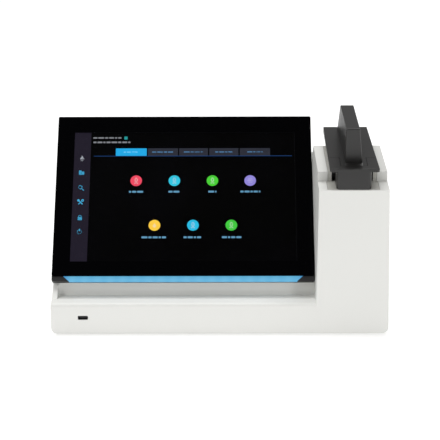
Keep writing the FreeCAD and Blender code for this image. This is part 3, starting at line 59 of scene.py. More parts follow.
def add_camera():
    ahead = Vector((math.sin(YAW) * math.cos(PITCH), math.cos(YAW) * math.cos(PITCH), -math.sin(PITCH)))
    level = Vector((math.cos(YAW), -math.sin(YAW), 0))
    upright = level.cross(ahead)
    right = math.cos(ROLL) * level + math.sin(ROLL) * upright
    up = math.cos(ROLL) * upright - math.sin(ROLL) * level
    data = bpy.data.cameras.new("photo_camera")
    data.sensor_fit = "HORIZONTAL"
    data.sensor_width = SENSOR_MM
    data.lens = FOCAL_PIXELS / PHOTO_SIDE * SENSOR_MM
    data.clip_end = CAMERA_REACH
    camera = bpy.data.objects.new("photo_camera", data)
    bpy.context.scene.collection.objects.link(camera)
    turn = Matrix((right, up, -ahead)).transposed().to_4x4()
    camera.matrix_world = Matrix.Translation(CAMERA_PLACE) @ turn
    bpy.context.scene.camera = camera


# Shader maths written as expressions

class Value:
    """One output of a shader node. Python's operators on it add the nodes that work them out."""

    def __init__(self, finish, socket):
        self.finish = finish
        self.socket = socket

    def math(self, operation, first, second=None):
        inputs = {0: first} if second is None else {0: first, 1: second}
        return self.finish.node("ShaderNodeMath", {"operation": operation}, inputs)

    def __add__(self, other):
        return self.math("ADD", self, other)

    def __radd__(self, other):
        return self.math("ADD", other, self)

    def __sub__(self, other):
        return self.math("SUBTRACT", self, other)

    def __rsub__(self, other):
        return self.math("SUBTRACT", other, self)

    def __mul__(self, other):
        return self.math("MULTIPLY", self, other)

    def __rmul__(self, other):
        return self.math("MULTIPLY", other, self)

    def __gt__(self, other):
        return self.math("GREATER_THAN", self, other)

    def __lt__(self, other):
        return self.math("LESS_THAN", self, other)

    def size(self):
        return self.math("ABSOLUTE", self)

    def wave(self):
        return self.math("SINE", self)

    def lifted(self):
        """A value from -1..1 taken to 0..1."""
        return self * 0.5 + 0.5

    def or_higher(self, other):
        return self.math("MAXIMUM", self, other)


# The Mix node's sockets for colours, by number, because its sockets for values have the same names

MIX_FIRST = 6
MIX_SECOND = 7
MIX_RESULT = 2

# Most noise lies between these two values

NOISE_SPAN = (0.3, 0.7)


class Finish:
    """A material, with one method that adds any node and a few that add the usual ones."""

    def __init__(self, name):
        self.material = bpy.data.materials.new(name)
        self.material.use_nodes = True
        self.tree = self.material.node_tree
        self.tree.nodes.clear()
        self.place = self.node("ShaderNodeTexCoord", output="Object")

    def node(self, kind, settings=None, inputs=None, output=0):
        """Add a node, set it up first, and then give each socket its number, its colour or its link."""
        made = self.tree.nodes.new(kind)
        for name, setting in (settings or {}).items():
            setattr(made, name, setting)
        for name, given in (inputs or {}).items():
            if isinstance(given, Value):
                self.tree.links.new(given.socket, made.inputs[name])
            else:
                made.inputs[name].default_value = given
        return Value(self, made.outputs[output])

    def axes(self, source=None):
        """The x, y and z of a vector, by default of the place on the piece."""
        made = self.tree.nodes.new("ShaderNodeSeparateXYZ")
        self.tree.links.new((source or self.place).socket, made.inputs[0])
        return [Value(self, part) for part in made.outputs]

    def stretched(self, scale, turn=(0, 0, 0), shift=(0, 0, 0)):
        """The place on the piece, scaled, turned and shifted."""
        inputs = {"Vector": self.place, "Scale": scale, "Rotation": turn, "Location": shift}
        return self.node("ShaderNodeMapping", {"vector_type": "POINT"}, inputs)

    def noise(self, scale, detail=3, roughness=0.5, vector=None):
        inputs = {"Vector": vector or self.place, "Scale": scale, "Detail": detail, "Roughness": roughness}
        return self.node("ShaderNodeTexNoise", {"noise_dimensions": "3D"}, inputs)

    def cells(self, scale):
        return self.node("ShaderNodeTexVoronoi", {"feature": "F1"}, {"Vector": self.place, "Scale": scale})

    def fade(self, value, span=NOISE_SPAN, ends=(0.0, 1.0)):
        """The value taken from the span to the two ends, softly."""
        low, high = span
        start, end = ends
        settings = {"interpolation_type": "SMOOTHSTEP"}
        inputs = {"Value": value, "From Min": low, "From Max": high, "To Min": start, "To Max": end}
        return self.node("ShaderNodeMapRange", settings, inputs)

    def blend(self, factor, first, second):
        settings = {"data_type": "RGBA", "blend_type": "MIX"}
        inputs = {"Factor": factor, MIX_FIRST: first, MIX_SECOND: second}
        return self.node("ShaderNodeMix", settings, inputs, output=MIX_RESULT)

    def bump(self, height, strength, depth):
        return self.node("ShaderNodeBump", {}, {"Height": height, "Strength": strength, "Distance": depth})

    def shader(self, **sockets):
        inputs = {name.replace("_", " "): given for name, given in sockets.items()}
        return self.node("ShaderNodeBsdfPrincipled", {"distribution": "MULTI_GGX"}, inputs)

    def done(self, surface):
        end = self.tree.nodes.new("ShaderNodeOutputMaterial")
        self.tree.links.new(surface.socket, end.inputs["Surface"])
        return self.material


def mixed(first, second, share):
    """Two patterns as one: the first by its share, the second by the rest."""
    return first * share + second * (1 - share)


# Colours: the curve by which a screen turns its numbers into light

SCREEN_TOP = 255
TOE_END = 0.04045
TOE_SLOPE = 12.92
CURVE_SHIFT = 0.055
CURVE_POWER = 2.4


def paint(red, green, blue):
    """A colour given as it looks on a screen, 0 to 255, as the renderer's own colour."""
    shades = []
    for part in (red, green, blue):
        share = part / SCREEN_TOP
        if share <= TOE_END:
            shades.append(share / TOE_SLOPE)
        else:
            shades.append(((share + CURVE_SHIFT) / (1 + CURVE_SHIFT)) ** CURVE_POWER)
    return (*shades, 1.0)


def shaded(colour, factor):
    """A colour made darker or lighter."""
    return (colour[0] * factor, colour[1] * factor, colour[2] * factor, 1.0)


# Materials: noise and cells have so many marks to the metre, and waves so many radians

def moulded(name, colour, rough, grain=1500.0, relief=0.35, tone=0.04):
    """Injection-moulded plastic: a fine spark-eroded texture, faint flow clouds and a little dust."""
    finish = Finish(name)
    cloud = finish.noise(scale=11.0, detail=3, roughness=0.55)
    flow = finish.noise(scale=3.0, detail=2, roughness=0.5, vector=finish.stretched((1.0, 1.0, 4.0)))
    speck = finish.noise(scale=grain, detail=4, roughness=0.6)
    pits = finish.cells(scale=grain * 0.7)
    dark = shaded(colour, 1 - tone)
    light = shaded(colour, 1 + tone * 0.6)
    dusty = shaded(colour, 1 - 2.2 * tone)
    clouded = finish.blend(finish.fade(mixed(cloud, flow, share=0.6)), dark, light)
    dust = finish.fade(speck, span=(0.35, 0.75)) * 0.5
    surface = finish.shader(
        Base_Color=finish.blend(dust, clouded, dusty),
        Roughness=finish.fade(cloud + speck * 0.4, span=(0.4, 1.0), ends=(rough - 0.05, rough + 0.07)),
        Normal=finish.bump(mixed(speck, pits, share=0.7), relief, depth=0.06 * MM),
    )
    return finish.done(surface)


def rubbery(name, colour):
    """Black rubber, greyed in patches where it picks up dust."""
    finish = Finish(name)
    dust = finish.noise(scale=60.0, detail=4, roughness=0.6)
    speck = finish.noise(scale=2400.0, detail=3, roughness=0.7)
    worn = finish.fade(dust, span=(0.45, 0.75)) * 0.5
    surface = finish.shader(
        Base_Color=finish.blend(worn, colour, shaded(colour, 2.0)),
        Roughness=finish.fade(speck, ends=(0.72, 0.92)),
        Normal=finish.bump(speck, strength=0.5, depth=0.05 * MM),
    )
    return finish.done(surface)


def brushed(name, colour, rough, stretch):
    """Ground or rolled metal, with fine lines along the axis whose stretch is least."""
    finish = Finish(name)
    lines = finish.noise(scale=900.0, detail=3, roughness=0.6, vector=finish.stretched(stretch))
    stain = finish.noise(scale=35.0, detail=4, roughness=0.6)
    streaked = finish.blend(finish.fade(lines), shaded(colour, 0.82), shaded(colour, 1.06))
    stained = finish.fade(stain, span=(0.5, 0.8)) * 0.35
    surface = finish.shader(
        Base_Color=finish.blend(stained, streaked, shaded(colour, 0.7)),
        Metallic=1.0,
        Roughness=finish.fade(lines + stain * 0.5, span=(0.5, 1.1), ends=(rough - 0.07, rough + 0.1)),
        Normal=finish.bump(lines, strength=0.25, depth=0.04 * MM),
    )
    return finish.done(surface)


def turned_metal(name, colour, rough):
    """Metal turned on a lathe about an upright axis: fine rings up its length."""
    finish = Finish(name)
    height = finish.axes()[2]
    rings = (height * 5200.0).wave().lifted()
    wander = finish.noise(scale=300.0, detail=3, roughness=0.5)
    smear = finish.noise(scale=90.0, detail=4, roughness=0.6)
    tone = finish.fade(mixed(rings, wander, share=0.5), span=(0.2, 0.8))
    surface = finish.shader(
        Base_Color=finish.blend(tone, shaded(colour, 0.88), colour),
        Metallic=1.0,
        Roughness=finish.fade(smear, ends=(rough, rough + 0.12)),
        Normal=finish.bump(rings, strength=0.12, depth=0.02 * MM),
    )
    return finish.done(surface)


def blasted(name, colour, rough):
    """Cast or bead-blasted metal with a coarse, even sparkle."""
    finish = Finish(name)
    beads = finish.cells(scale=1400.0)
    cast = finish.noise(scale=40.0, detail=5, roughness=0.6)
    tone = finish.fade(cast, span=(0.35, 0.7))
    surface = finish.shader(
        Base_Color=finish.blend(tone, shaded(colour, 0.85), colour),
        Metallic=0.95,
        Roughness=finish.fade(beads, span=(0.1, 0.7), ends=(rough - 0.06, rough + 0.1)),
        Normal=finish.bump(beads + cast * 0.6, strength=0.4, depth=0.08 * MM),
    )
    return finish.done(surface)


def painted(name, colour, rough):
    """Powder-coated sheet, with its orange-peel ripple."""
    finish = Finish(name)
    peel = finish.noise(scale=520.0, detail=2, roughness=0.4)
    speck = finish.noise(scale=2600.0, detail=3, roughness=0.6)
    tone = finish.fade(finish.noise(scale=9.0, detail=3, roughness=0.5))
    surface = finish.shader(
        Base_Color=finish.blend(tone, shaded(colour, 0.94), shaded(colour, 1.04)),
        Metallic=0.2,
        Roughness=finish.fade(speck, ends=(rough - 0.05, rough + 0.08)),
        Normal=finish.bump(mixed(peel, speck, share=0.8), strength=0.3, depth=0.1 * MM),
    )
    return finish.done(surface)


def copper_tracks(across, along, pitch, run, width, gap):
    """Straight stripes across one axis of a board, broken along the other."""
    return ((across * pitch).wave() > width) * ((along * run).wave() > gap)


def board_green(name):
    """A circuit board: solder mask over straight copper tracks, with scattered pads of tin."""
    finish = Finish(name)
    x, y = finish.axes()[:2]
    lengthwise = copper_tracks(x, y, pitch=1800.0, run=160.0, width=0.55, gap=-0.2)
    crosswise = copper_tracks(y, x, pitch=1500.0, run=120.0, width=0.7, gap=0.3)
    copper = lengthwise.or_higher(crosswise)
    pads = finish.cells(scale=260.0) < 0.16
    mask = finish.blend(copper, paint(12, 66, 38), paint(30, 98, 58))
    surface = finish.shader(
        Base_Color=finish.blend(pads, mask, paint(176, 178, 172)),
        Metallic=pads * 0.8,
        Roughness=finish.fade(finish.noise(scale=400.0), ends=(0.26, 0.4)),
        Normal=finish.bump(copper.or_higher(pads), strength=0.25, depth=0.05 * MM),
    )
    return finish.done(surface)


# Painted sheen: the blue and rose of the light that the grating's grooves spread, painted into its colour
PAINTED_SHEEN_BLUE = (0.62, 0.72, 0.9, 1)
PAINTED_SHEEN_ROSE = (0.85, 0.7, 0.8, 1)


def grooved_mirror(name):
    """The ruled mirror that spreads the light: fine grooves, and a painted rainbow sheen, blue to rose, that
    changes up its height.
    """
    finish = Finish(name)
    y, z = finish.axes()[1:]
    grooves = (y * 30000.0).wave().lifted()
    # Painted sheen: bands of blue and rose up the height stand in for the diffracted light
    painted_sheen = finish.fade((z * 90.0).wave(), span=(-1.0, 1.0))
    surface = finish.shader(
        Base_Color=finish.blend(painted_sheen, PAINTED_SHEEN_BLUE, PAINTED_SHEEN_ROSE),
        Metallic=1.0,
        Roughness=finish.fade(grooves, span=(0.0, 1.0), ends=(0.05, 0.12)),
        Normal=finish.bump(grooves, strength=0.1, depth=0.01 * MM),
    )
    return finish.done(surface)


LENS_SMEARED = (0.86, 0.9, 0.95, 1)
LENS_CLEAN = (0.93, 0.95, 0.98, 1)
QUARTZ_INDEX = 1.47


def clear_lens(name):
    """Clear quartz glass with a faint smear."""
    finish = Finish(name)
    smear = finish.noise(scale=240.0, detail=3, roughness=0.5)
    surface = finish.shader(
        Base_Color=finish.blend(finish.fade(smear), LENS_SMEARED, LENS_CLEAN),
        Roughness=finish.fade(smear, span=(0.3, 0.8), ends=(0.02, 0.08)),
        Transmission_Weight=1.0,
        IOR=QUARTZ_INDEX,
    )
    return finish.done(surface)


# The screen's own frame: u across, v up the slope and w outwards, from the middle of the lit panel

LEAN = math.radians(44.4)
LIT_SHIFT = (0.25 * MM, -1.1 * MM)
LIT_HALF = (108.48 * MM, 67.8 * MM)
GLASS_THICK = 1.1 * MM


def screen_matrix():
    low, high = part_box("display_glass")
    across = Vector((1, 0, 0))
    slope = Vector((0, math.sin(LEAN), math.cos(LEAN)))
    out = across.cross(slope)
    middle = (low + high) / 2 + across * LIT_SHIFT[0] + slope * LIT_SHIFT[1] - out * GLASS_THICK / 2
    turn = Matrix((across, slope, out)).transposed().to_4x4()
    return Matrix.Translation(middle) @ turn


SCREEN = screen_matrix()


def screen_axes(finish):
    """The place on a piece, as u and v of the screen."""
    back = SCREEN.inverted()
    turn = back.to_euler("XYZ")
    shift = back.to_translation()
    return finish.axes(finish.stretched((1, 1, 1), turn, shift))[:2]


GLASS_INDEX = 1.5
GLASS_CLEARNESS = 0.92
GLASS_GLOSS = 0.02


def screen_glass(name):
    """Toughened glass, printed black behind its border and clear over the lit panel."""
    finish = Finish(name)
    u, v = screen_axes(finish)
    inside = (u.size() < LIT_HALF[0]) * (v.size() < LIT_HALF[1])
    smear = finish.noise(scale=26.0, detail=4, roughness=0.55, vector=finish.stretched((1.0, 2.2, 1.0)))
    dots = finish.noise(scale=1600.0, detail=2, roughness=0.5)
    surface = finish.shader(
        Base_Color=finish.blend(finish.fade(dots), paint(1, 1, 2), paint(4, 4, 5)),
        Roughness=finish.fade(smear, span=(0.35, 0.75), ends=(0.03, 0.12)),
        Alpha=1 - inside * GLASS_CLEARNESS,
        Specular_IOR_Level=GLASS_GLOSS,
        IOR=GLASS_INDEX,
    )
    return finish.done(surface)


PANEL_GLOSS = 0.05
PIXEL_WAVES = 24000.0


def lit_panel(name):
    """The panel behind the picture: nearly black, a little lighter in soft clouds."""
    finish = Finish(name)
    u, v = screen_axes(finish)
    pixels = ((u * PIXEL_WAVES).wave() * (v * PIXEL_WAVES).wave()).lifted()
    glow = finish.fade(finish.noise(scale=14.0, detail=2, roughness=0.5), span=(0.3, 0.8))
    colour = finish.blend(glow, paint(1, 1, 1), paint(3, 3, 5))
    surface = finish.shader(
        Base_Color=colour,
        Roughness=finish.fade(pixels, span=(0.0, 1.0), ends=(0.3, 0.42)),
        Specular_IOR_Level=PANEL_GLOSS,
        Emission_Color=colour,
        Emission_Strength=0.6,
    )
    return finish.done(surface)


INK_WAVES = 31000.0
INK_UNLIT = 0.2
INK_DIM = 0.86


def lit_ink(name, colour, strength):
    """Lit pixels of one colour, with the fine grid of the panel and a soft unevenness."""
    finish = Finish(name)
    u, v = screen_axes(finish)
    grid = (u * INK_WAVES).wave().size() * (v * INK_WAVES).wave().size()
    uneven = finish.fade(finish.noise(scale=180.0, detail=2, roughness=0.5))
    surface = finish.shader(
        Base_Color=shaded(colour, INK_UNLIT),
        Roughness=0.35,
        Specular_IOR_Level=PANEL_GLOSS,
        Emission_Color=finish.blend(mixed(uneven, grid, share=0.6), shaded(colour, INK_DIM), colour),
        Emission_Strength=strength,
    )
    return finish.done(surface)


LIGHT_HALF = 114 * MM
LIGHT_BLUE = paint(78, 160, 202)
LIGHT_PALE = paint(104, 178, 212)
LIGHT_DEEP = paint(34, 118, 190)
LIGHT_UNLIT = paint(52, 84, 100)
LAMP_WAVES = 520.0


def lit_diffuser(name):
    """The frosted bar in the lower rim: paler at each lamp behind it, and deeper at its tapered ends."""
    finish = Finish(name)
    u = screen_axes(finish)[0]
    ends = finish.fade(u.size(), span=(LIGHT_HALF * 0.93, LIGHT_HALF * 1.04))
    lamps = (u * LAMP_WAVES).wave().lifted()
    frost = finish.noise(scale=900.0, detail=3, roughness=0.6)
    pale = finish.blend(lamps * 0.35 + frost * 0.2, LIGHT_BLUE, LIGHT_PALE)
    surface = finish.shader(
        Base_Color=LIGHT_UNLIT,
        Roughness=finish.fade(frost, ends=(0.4, 0.6)),
        Emission_Color=finish.blend(ends, pale, LIGHT_DEEP),
        Emission_Strength=0.95,
        Normal=finish.bump(frost, strength=0.2, depth=0.04 * MM),
    )
    return finish.done(surface)


# Which finish each node of the frame gets

WHITE = paint(230, 230, 226)
ARM_GREY = paint(33, 32, 31)
LINER = paint(196, 195, 188)
LINES_ALONG_X = (0.06, 1.0, 1.0)
LINES_ALONG_Y = (1.0, 0.08, 1.0)
LINES_ALONG_Z = (1.0, 1.0, 0.2)

FINISHES = {
    "housing_white": moulded("housing_white", WHITE, rough=0.42, grain=1900.0, relief=0.22, tone=0.012),
    "grey_plastic": moulded("grey_plastic", paint(186, 186, 184), rough=0.5),
    "rubber": rubbery("rubber_black", paint(34, 34, 34)),
    "seal_rubber": rubbery("seal_black", paint(26, 26, 27)),
    "screen_glass": screen_glass("screen_glass"),
    "lcd_panel": lit_panel("lit_panel"),
    "black_plastic": moulded("black_plastic", paint(18, 18, 19), rough=0.36, relief=0.25),
    "light_bar": lit_diffuser("lit_diffuser"),
    "circuit_board": board_green("circuit_board"),
    "steel": brushed("ground_steel", paint(196, 197, 200), rough=0.3, stretch=LINES_ALONG_X),
    "ribbon": moulded("ribbon_cable", paint(222, 218, 205), rough=0.4, grain=700.0),
    "liner_grey": moulded("liner_grey", LINER, rough=0.46, grain=1700.0, relief=0.25, tone=0.02),
    "polished_steel": turned_metal("polished_steel", paint(206, 207, 210), rough=0.1),
    "arm_grey": moulded("arm_grey", ARM_GREY, rough=0.38, relief=0.4, tone=0.07),
    "cast_aluminium": blasted("cast_aluminium", paint(176, 177, 180), rough=0.38),
    "sheet_steel": painted("sheet_steel", paint(164, 167, 170), rough=0.42),
    "motor_black": painted("motor_black", paint(40, 40, 42), rough=0.45),
    "brass": turned_metal("turned_brass", paint(200, 168, 96), rough=0.2),
    "nylon": moulded("nylon_natural", paint(226, 223, 212), rough=0.48),
    "lens_glass": clear_lens("lens_glass"),
    "fibre_jacket": moulded("fibre_jacket", paint(36, 37, 42), rough=0.4, grain=900.0),
    "anodised_black": blasted("anodised_black", paint(44, 44, 47), rough=0.45),
    "grating_mirror": grooved_mirror("ruled_grating"),
    "chip_ceramic": moulded("chip_ceramic", paint(122, 112, 104), rough=0.5, grain=1200.0),
    "rocker_black": moulded("rocker_black", paint(24, 24, 25), rough=0.3, relief=0.2),
    "port_steel": brushed("plated_steel", paint(204, 205, 206), rough=0.24, stretch=LINES_ALONG_Y),
    "fan_black": moulded("fan_black", paint(22, 22, 23), rough=0.42, relief=0.3),
    "screw_steel": brushed("zinc_screws", paint(188, 190, 194), rough=0.28, stretch=LINES_ALONG_Z),
}


def dress_nodes():
    for row in frame["record"]["subparts"]:
        slots = NODES[row["node"]].data.materials
        slots.clear()
        slots.append(FINISHES[row["material_slot"]])


# Flat shapes, made in the middle, then set down in their layer and put on the face that carries them

LAYER_START = 0.05 * MM
LAYER_THICK = 0.02 * MM
LAYER_STEP = 0.03 * MM
CORNER_SEGMENTS = 4
TRIANGLE = 3
SMALL_ROUND = 12
ROUND = 40
LARGE_ROUND = 64


def clear_picks():
    bpy.ops.object.select_all(action="DESELECT")


def pick(*objects):
    clear_picks()
    for thing in objects:
        thing.select_set(True)
    bpy.context.view_layer.objects.active = objects[0]


def start_edit(thing):
    pick(thing)
    bpy.ops.object.mode_set(mode="EDIT")
    bpy.ops.mesh.select_all(action="SELECT")


def end_edit():
    bpy.ops.object.mode_set(mode="OBJECT")


def bake_place(thing):
    """Put a piece's place into its mesh."""
    pick(thing)
    bpy.ops.object.transform_apply(location=True, rotation=True, scale=True)


def set_down(thing, u, v, turn, layer):
    """Give a flat outline its thickness, and its place in the picture."""
    start_edit(thing)
    bpy.ops.mesh.extrude_region_move(TRANSFORM_OT_translate={"value": (0, 0, LAYER_THICK)})
    bpy.ops.mesh.select_all(action="SELECT")
    bpy.ops.mesh.normals_make_consistent(inside=False)
    end_edit()
    thing.rotation_euler = (0, 0, math.radians(turn))
    thing.location = (u * MM, v * MM, LAYER_START + layer * LAYER_STEP)
    bake_place(thing)
    return thing


def tile(u, v, width, height, corner=0.0, turn=0.0, layer=0):
    """A flat rectangle, rounded where it has a corner's size. Millimetres, and degrees for its turn."""
    clear_picks()
    bpy.ops.mesh.primitive_plane_add(size=1, location=(0, 0, 0))
    thing = bpy.context.object
    start_edit(thing)
    bpy.ops.transform.resize(value=(width * MM, height * MM, 1))
    if corner:
        bpy.ops.mesh.bevel(offset=corner * MM, segments=CORNER_SEGMENTS, affect="VERTICES")
    end_edit()
    return set_down(thing, u, v, turn, layer)


def disc(u, v, radius, hole=0.0, layer=0, sides=ROUND):
    """A flat disc, or a ring where it has a hole's radius. Millimetres."""
    clear_picks()
    bpy.ops.mesh.primitive_circle_add(
        vertices=sides,
        radius=radius * MM,
        fill_type="NGON",
        location=(0, 0, 0),
    )
    thing = bpy.context.object
    if hole:
        start_edit(thing)
        bpy.ops.mesh.inset(thickness=(radius - hole) * MM, depth=0)
        bpy.ops.mesh.delete(type="FACE")
        end_edit()
    return set_down(thing, u, v, 0.0, layer)


def joined(name, parts, material, matrix, body="base"):
    """Join the parts into one named piece, put it on its face and let it ride on its body."""
    pick(*parts)
    if len(parts) > 1:
        bpy.ops.object.join()
    thing = bpy.context.view_layer.objects.active
    thing.name = name
    thing.data.name = name
    thing.matrix_world = matrix
    bpy.context.view_layer.update()
    bake_place(thing)
    thing.data.materials.clear()
    thing.data.materials.append(material)
    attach(thing, body)


# The signs down the picture's left side

ICON_ACROSS = -100.5
ICON_ROWS = (39.5, 24.5, 8.6, -6.6, -22.7, -37.2)


def home_sign(v):
    roof = disc(ICON_ACROSS, v + 0.9, radius=2.6, sides=TRIANGLE)
    return [roof, tile(ICON_ACROSS, v - 1.0, width=3.0, height=2.6)]


def folder_sign(v):
    return [
        tile(ICON_ACROSS, v - 0.3, width=5.2, height=3.6, corner=0.5),
        tile(ICON_ACROSS - 1.4, v + 1.9, width=2.4, height=1.4, corner=0.3),
    ]


def magnifier_sign(v):
    return [
        disc(ICON_ACROSS - 0.7, v + 0.7, radius=2.1, hole=1.3),
        tile(ICON_ACROSS + 1.7, v - 1.7, width=3.0, height=0.9, turn=-45),
    ]


def tools_sign(v):
    return [
        tile(ICON_ACROSS, v, width=6.0, height=1.1, corner=0.4, turn=45),
        tile(ICON_ACROSS, v, width=6.0, height=1.1, corner=0.4, turn=-45, layer=1),
        disc(ICON_ACROSS + 2.0, v + 2.0, radius=1.3, hole=0.6, layer=2),
        disc(ICON_ACROSS - 2.0, v + 2.0, radius=1.2, layer=2),
    ]


def lock_sign(v):
    return [
        tile(ICON_ACROSS, v - 0.8, width=4.2, height=3.2, corner=0.5),
        disc(ICON_ACROSS, v + 1.1, radius=1.7, hole=1.0),
    ]


def power_sign(v):
    return [
        disc(ICON_ACROSS, v, radius=2.4, hole=1.6),
        tile(ICON_ACROSS, v + 1.9, width=0.8, height=2.4, layer=1),
    ]


# The pale signs in the discs

STRAND_DOTS = 5
STRAND_SWAY = 1.3
STRAND_STEP = 1.3
STRAND_HALF = 2.6
STRAND_TURN = 2.5
STRAND_DOT = 0.62
RUNG_ROWS = (0, 2, 4)
RUNG_WIDE = 2.2
RUNG_HIGH = 0.4
RING_DOTS = 6
RING_RADIUS = 2.1
RING_DOT = 0.6
RING_MIDDLE = 0.8


def strands_sign(u, v):
    """Two strands of dots that cross, with rungs between them."""
    parts = []
    for side in (-1, 1):
        for step in range(STRAND_DOTS):
            across = side * STRAND_SWAY * math.cos(math.pi * step / STRAND_TURN)
            height = v - STRAND_HALF + step * STRAND_STEP
            parts.append(disc(u + across, height, STRAND_DOT, layer=2, sides=SMALL_ROUND))
    for step in RUNG_ROWS:
        parts.append(tile(u, v - STRAND_HALF + step * STRAND_STEP, RUNG_WIDE, RUNG_HIGH, layer=1))
    return parts


def drop_sign(u, v):
    """A drop: a disc with a point on top."""
    return [
        disc(u, v - 0.7, radius=1.7, layer=1),
        disc(u, v + 1.4, radius=1.1, layer=1, sides=TRIANGLE),
    ]


def ring_sign(u, v):
    """A ring of dots around one in the middle."""
    dots = []
    for step in range(RING_DOTS):
        angle = math.pi * step / (RING_DOTS / 2)
        across = u + RING_RADIUS * math.cos(angle)
        height = v + RING_RADIUS * math.sin(angle)
        dots.append(disc(across, height, RING_DOT, layer=1, sides=SMALL_ROUND))
    return dots + [disc(u, v, RING_MIDDLE, layer=1, sides=SMALL_ROUND)]


# Rows of plain bars of uneven lengths

BAR_SHORT = 2.2
BAR_GROWTH = 0.9
BAR_GAP = 0.9
BAR_LEAST = 0.8
BAR_ORDER = 7
BAR_LENGTHS = 5
BAR_ROUNDING = 0.3


def bar_row(left, right, v, high, start):
    """Bars from left to right, whose lengths follow a fixed order that begins at start."""
    bars = []
    at = left
    index = start
    while at < right - BAR_LEAST:
        length = min(BAR_SHORT + (index * BAR_ORDER % BAR_LENGTHS) * BAR_GROWTH, right - at)
        bars.append(tile(at + length / 2, v, length, high, corner=high * BAR_ROUNDING))
        at += length + BAR_GAP
        index += 1
    return bars


# The picture on the lit panel, in millimetres from its middle

SIDEBAR_LEFT = -108.4
SIDEBAR_RIGHT = -92.2
PANEL_HALF_HIGH = 67.7
OUTLINE_WIDE = 216.6
OUTLINE_HIGH = 135.2
OUTLINE_LINE = 0.25
TITLE_ROWS = (
    {"left": -90.2, "right": -62.4, "v": 62.0, "high": 1.5, "start": 1},
    {"left": -90.0, "right": -51.9, "v": 57.2, "high": 1.7, "start": 3},
)
STATUS_PLACE = (-58, 61.8)
STATUS_SIDE = 3.2
STATUS_CORNER = 0.4
TAB_SPANS = ((-67.6, -37.2), (-36.1, -6.5), (-5.3, 23.0), (24.4, 52.9), (54.4, 84.1))
TAB_LOW = 42.6
TAB_HIGH = 50.6
TAB_CORNER = 0.5
TAB_BAR_HIGH = 1.3
TAB_BAR_REACH = (7.5, 10.5, 9.5, 8.5, 7.5)
RULE_SPAN = (-89.0, 105.4)
RULE_HIGH = 0.6
DISC_RADIUS = 5.65
UPPER_ROW = 16.0
LOWER_ROW = -30.6
UPPER_DISCS = (-46.9, -9.6, 27.5, 64.3)
LOWER_DISCS = (-28.3, 8.8, 45.8)
UPPER_BARS = ((-53.7, -39.8), (-15.3, -4.1), (23.4, 31.4), (54.7, 74.1))
LOWER_BARS = ((-40.6, -15.6), (-0.2, 18.0), (36.7, 55.4))
UPPER_BAR_LINE = 4.4
LOWER_BAR_LINE = -43.0
LOWER_BAR_START = 2
NAME_BAR_HIGH = 2.0

# The inks of the picture, and the discs of its two rows with their signs

INKS = {
    "picture_sidebar": paint(32, 28, 40),
    "picture_outline": paint(20, 20, 23),
    "picture_home_sign": paint(190, 196, 206),
    "picture_side_signs": paint(66, 168, 212),
    "picture_title_bars": paint(128, 130, 136),
    "picture_status_sign": paint(40, 150, 150),
    "picture_tab_in_use": paint(34, 166, 226),
    "picture_tab_in_use_bars": paint(120, 206, 240),
    "picture_tabs": paint(44, 46, 56),
    "picture_tab_bars": paint(82, 128, 170),
    "picture_tab_rule": paint(28, 62, 112),
    "picture_name_bars": paint(96, 150, 184),
}
UPPER_SAMPLES = (
    ("red", paint(226, 70, 92), strands_sign),
    ("cyan", paint(46, 186, 212), strands_sign),
    ("green", paint(70, 196, 52), strands_sign),
    ("violet", paint(138, 128, 206), ring_sign),
)
LOWER_SAMPLES = (
    ("amber", paint(240, 194, 66), drop_sign),
    ("sky", paint(40, 178, 216), strands_sign),
    ("leaf", paint(62, 192, 60), strands_sign),
)
DISC_STRENGTH = 1.1
SIGN_TINT = 0.62
SIGN_LIGHT = 0.8


def lit_piece(name, parts, colour, strength=1.0):
    joined(name, parts, lit_ink(name + "_ink", colour, strength), matrix=SCREEN)


def add_ink(name, parts):
    lit_piece(name, parts, INKS[name])


def add_sidebar():
    middle = (SIDEBAR_LEFT + SIDEBAR_RIGHT) / 2
    width = SIDEBAR_RIGHT - SIDEBAR_LEFT
    add_ink("picture_sidebar", [tile(middle, 0, width, 2 * PANEL_HALF_HIGH)])


def add_outline():
    edges = [
        tile(0, PANEL_HALF_HIGH, OUTLINE_WIDE, OUTLINE_LINE),
        tile(0, -PANEL_HALF_HIGH, OUTLINE_WIDE, OUTLINE_LINE),
        tile(OUTLINE_WIDE / 2, 0, OUTLINE_LINE, OUTLINE_HIGH),
    ]
    add_ink("picture_outline", edges)


def add_side_signs():
    add_ink("picture_home_sign", home_sign(ICON_ROWS[0]))
    signs = []
    for v, sign in zip(ICON_ROWS[1:], (folder_sign, magnifier_sign, tools_sign, lock_sign, power_sign)):
        signs += sign(v)
    add_ink("picture_side_signs", signs)


def add_title():
    bars = []
    for row in TITLE_ROWS:
        bars += bar_row(**row)
    add_ink("picture_title_bars", bars)
    add_ink("picture_status_sign", [tile(*STATUS_PLACE, STATUS_SIDE, STATUS_SIDE, corner=STATUS_CORNER)])


def add_tabs():
    """Five tabs with their bars, the first of them in use, over one long rule."""
    tab_middle = (TAB_LOW + TAB_HIGH) / 2
    tabs = []
    rows = []
    for index, (left, right) in enumerate(TAB_SPANS):
        middle = (left + right) / 2
        reach = TAB_BAR_REACH[index]
        tabs.append(tile(middle, tab_middle, right - left, TAB_HIGH - TAB_LOW, corner=TAB_CORNER))
        rows.append(bar_row(middle - reach, middle + reach, tab_middle, TAB_BAR_HIGH, index))
    add_ink("picture_tab_in_use", tabs[:1])
    add_ink("picture_tab_in_use_bars", rows[0])
    add_ink("picture_tabs", tabs[1:])
    add_ink("picture_tab_bars", [bar for row in rows[1:] for bar in row])
    left, right = RULE_SPAN
    rule = tile((left + right) / 2, TAB_LOW - RULE_HIGH / 2, right - left, RULE_HIGH, layer=1)
    add_ink("picture_tab_rule", [rule])


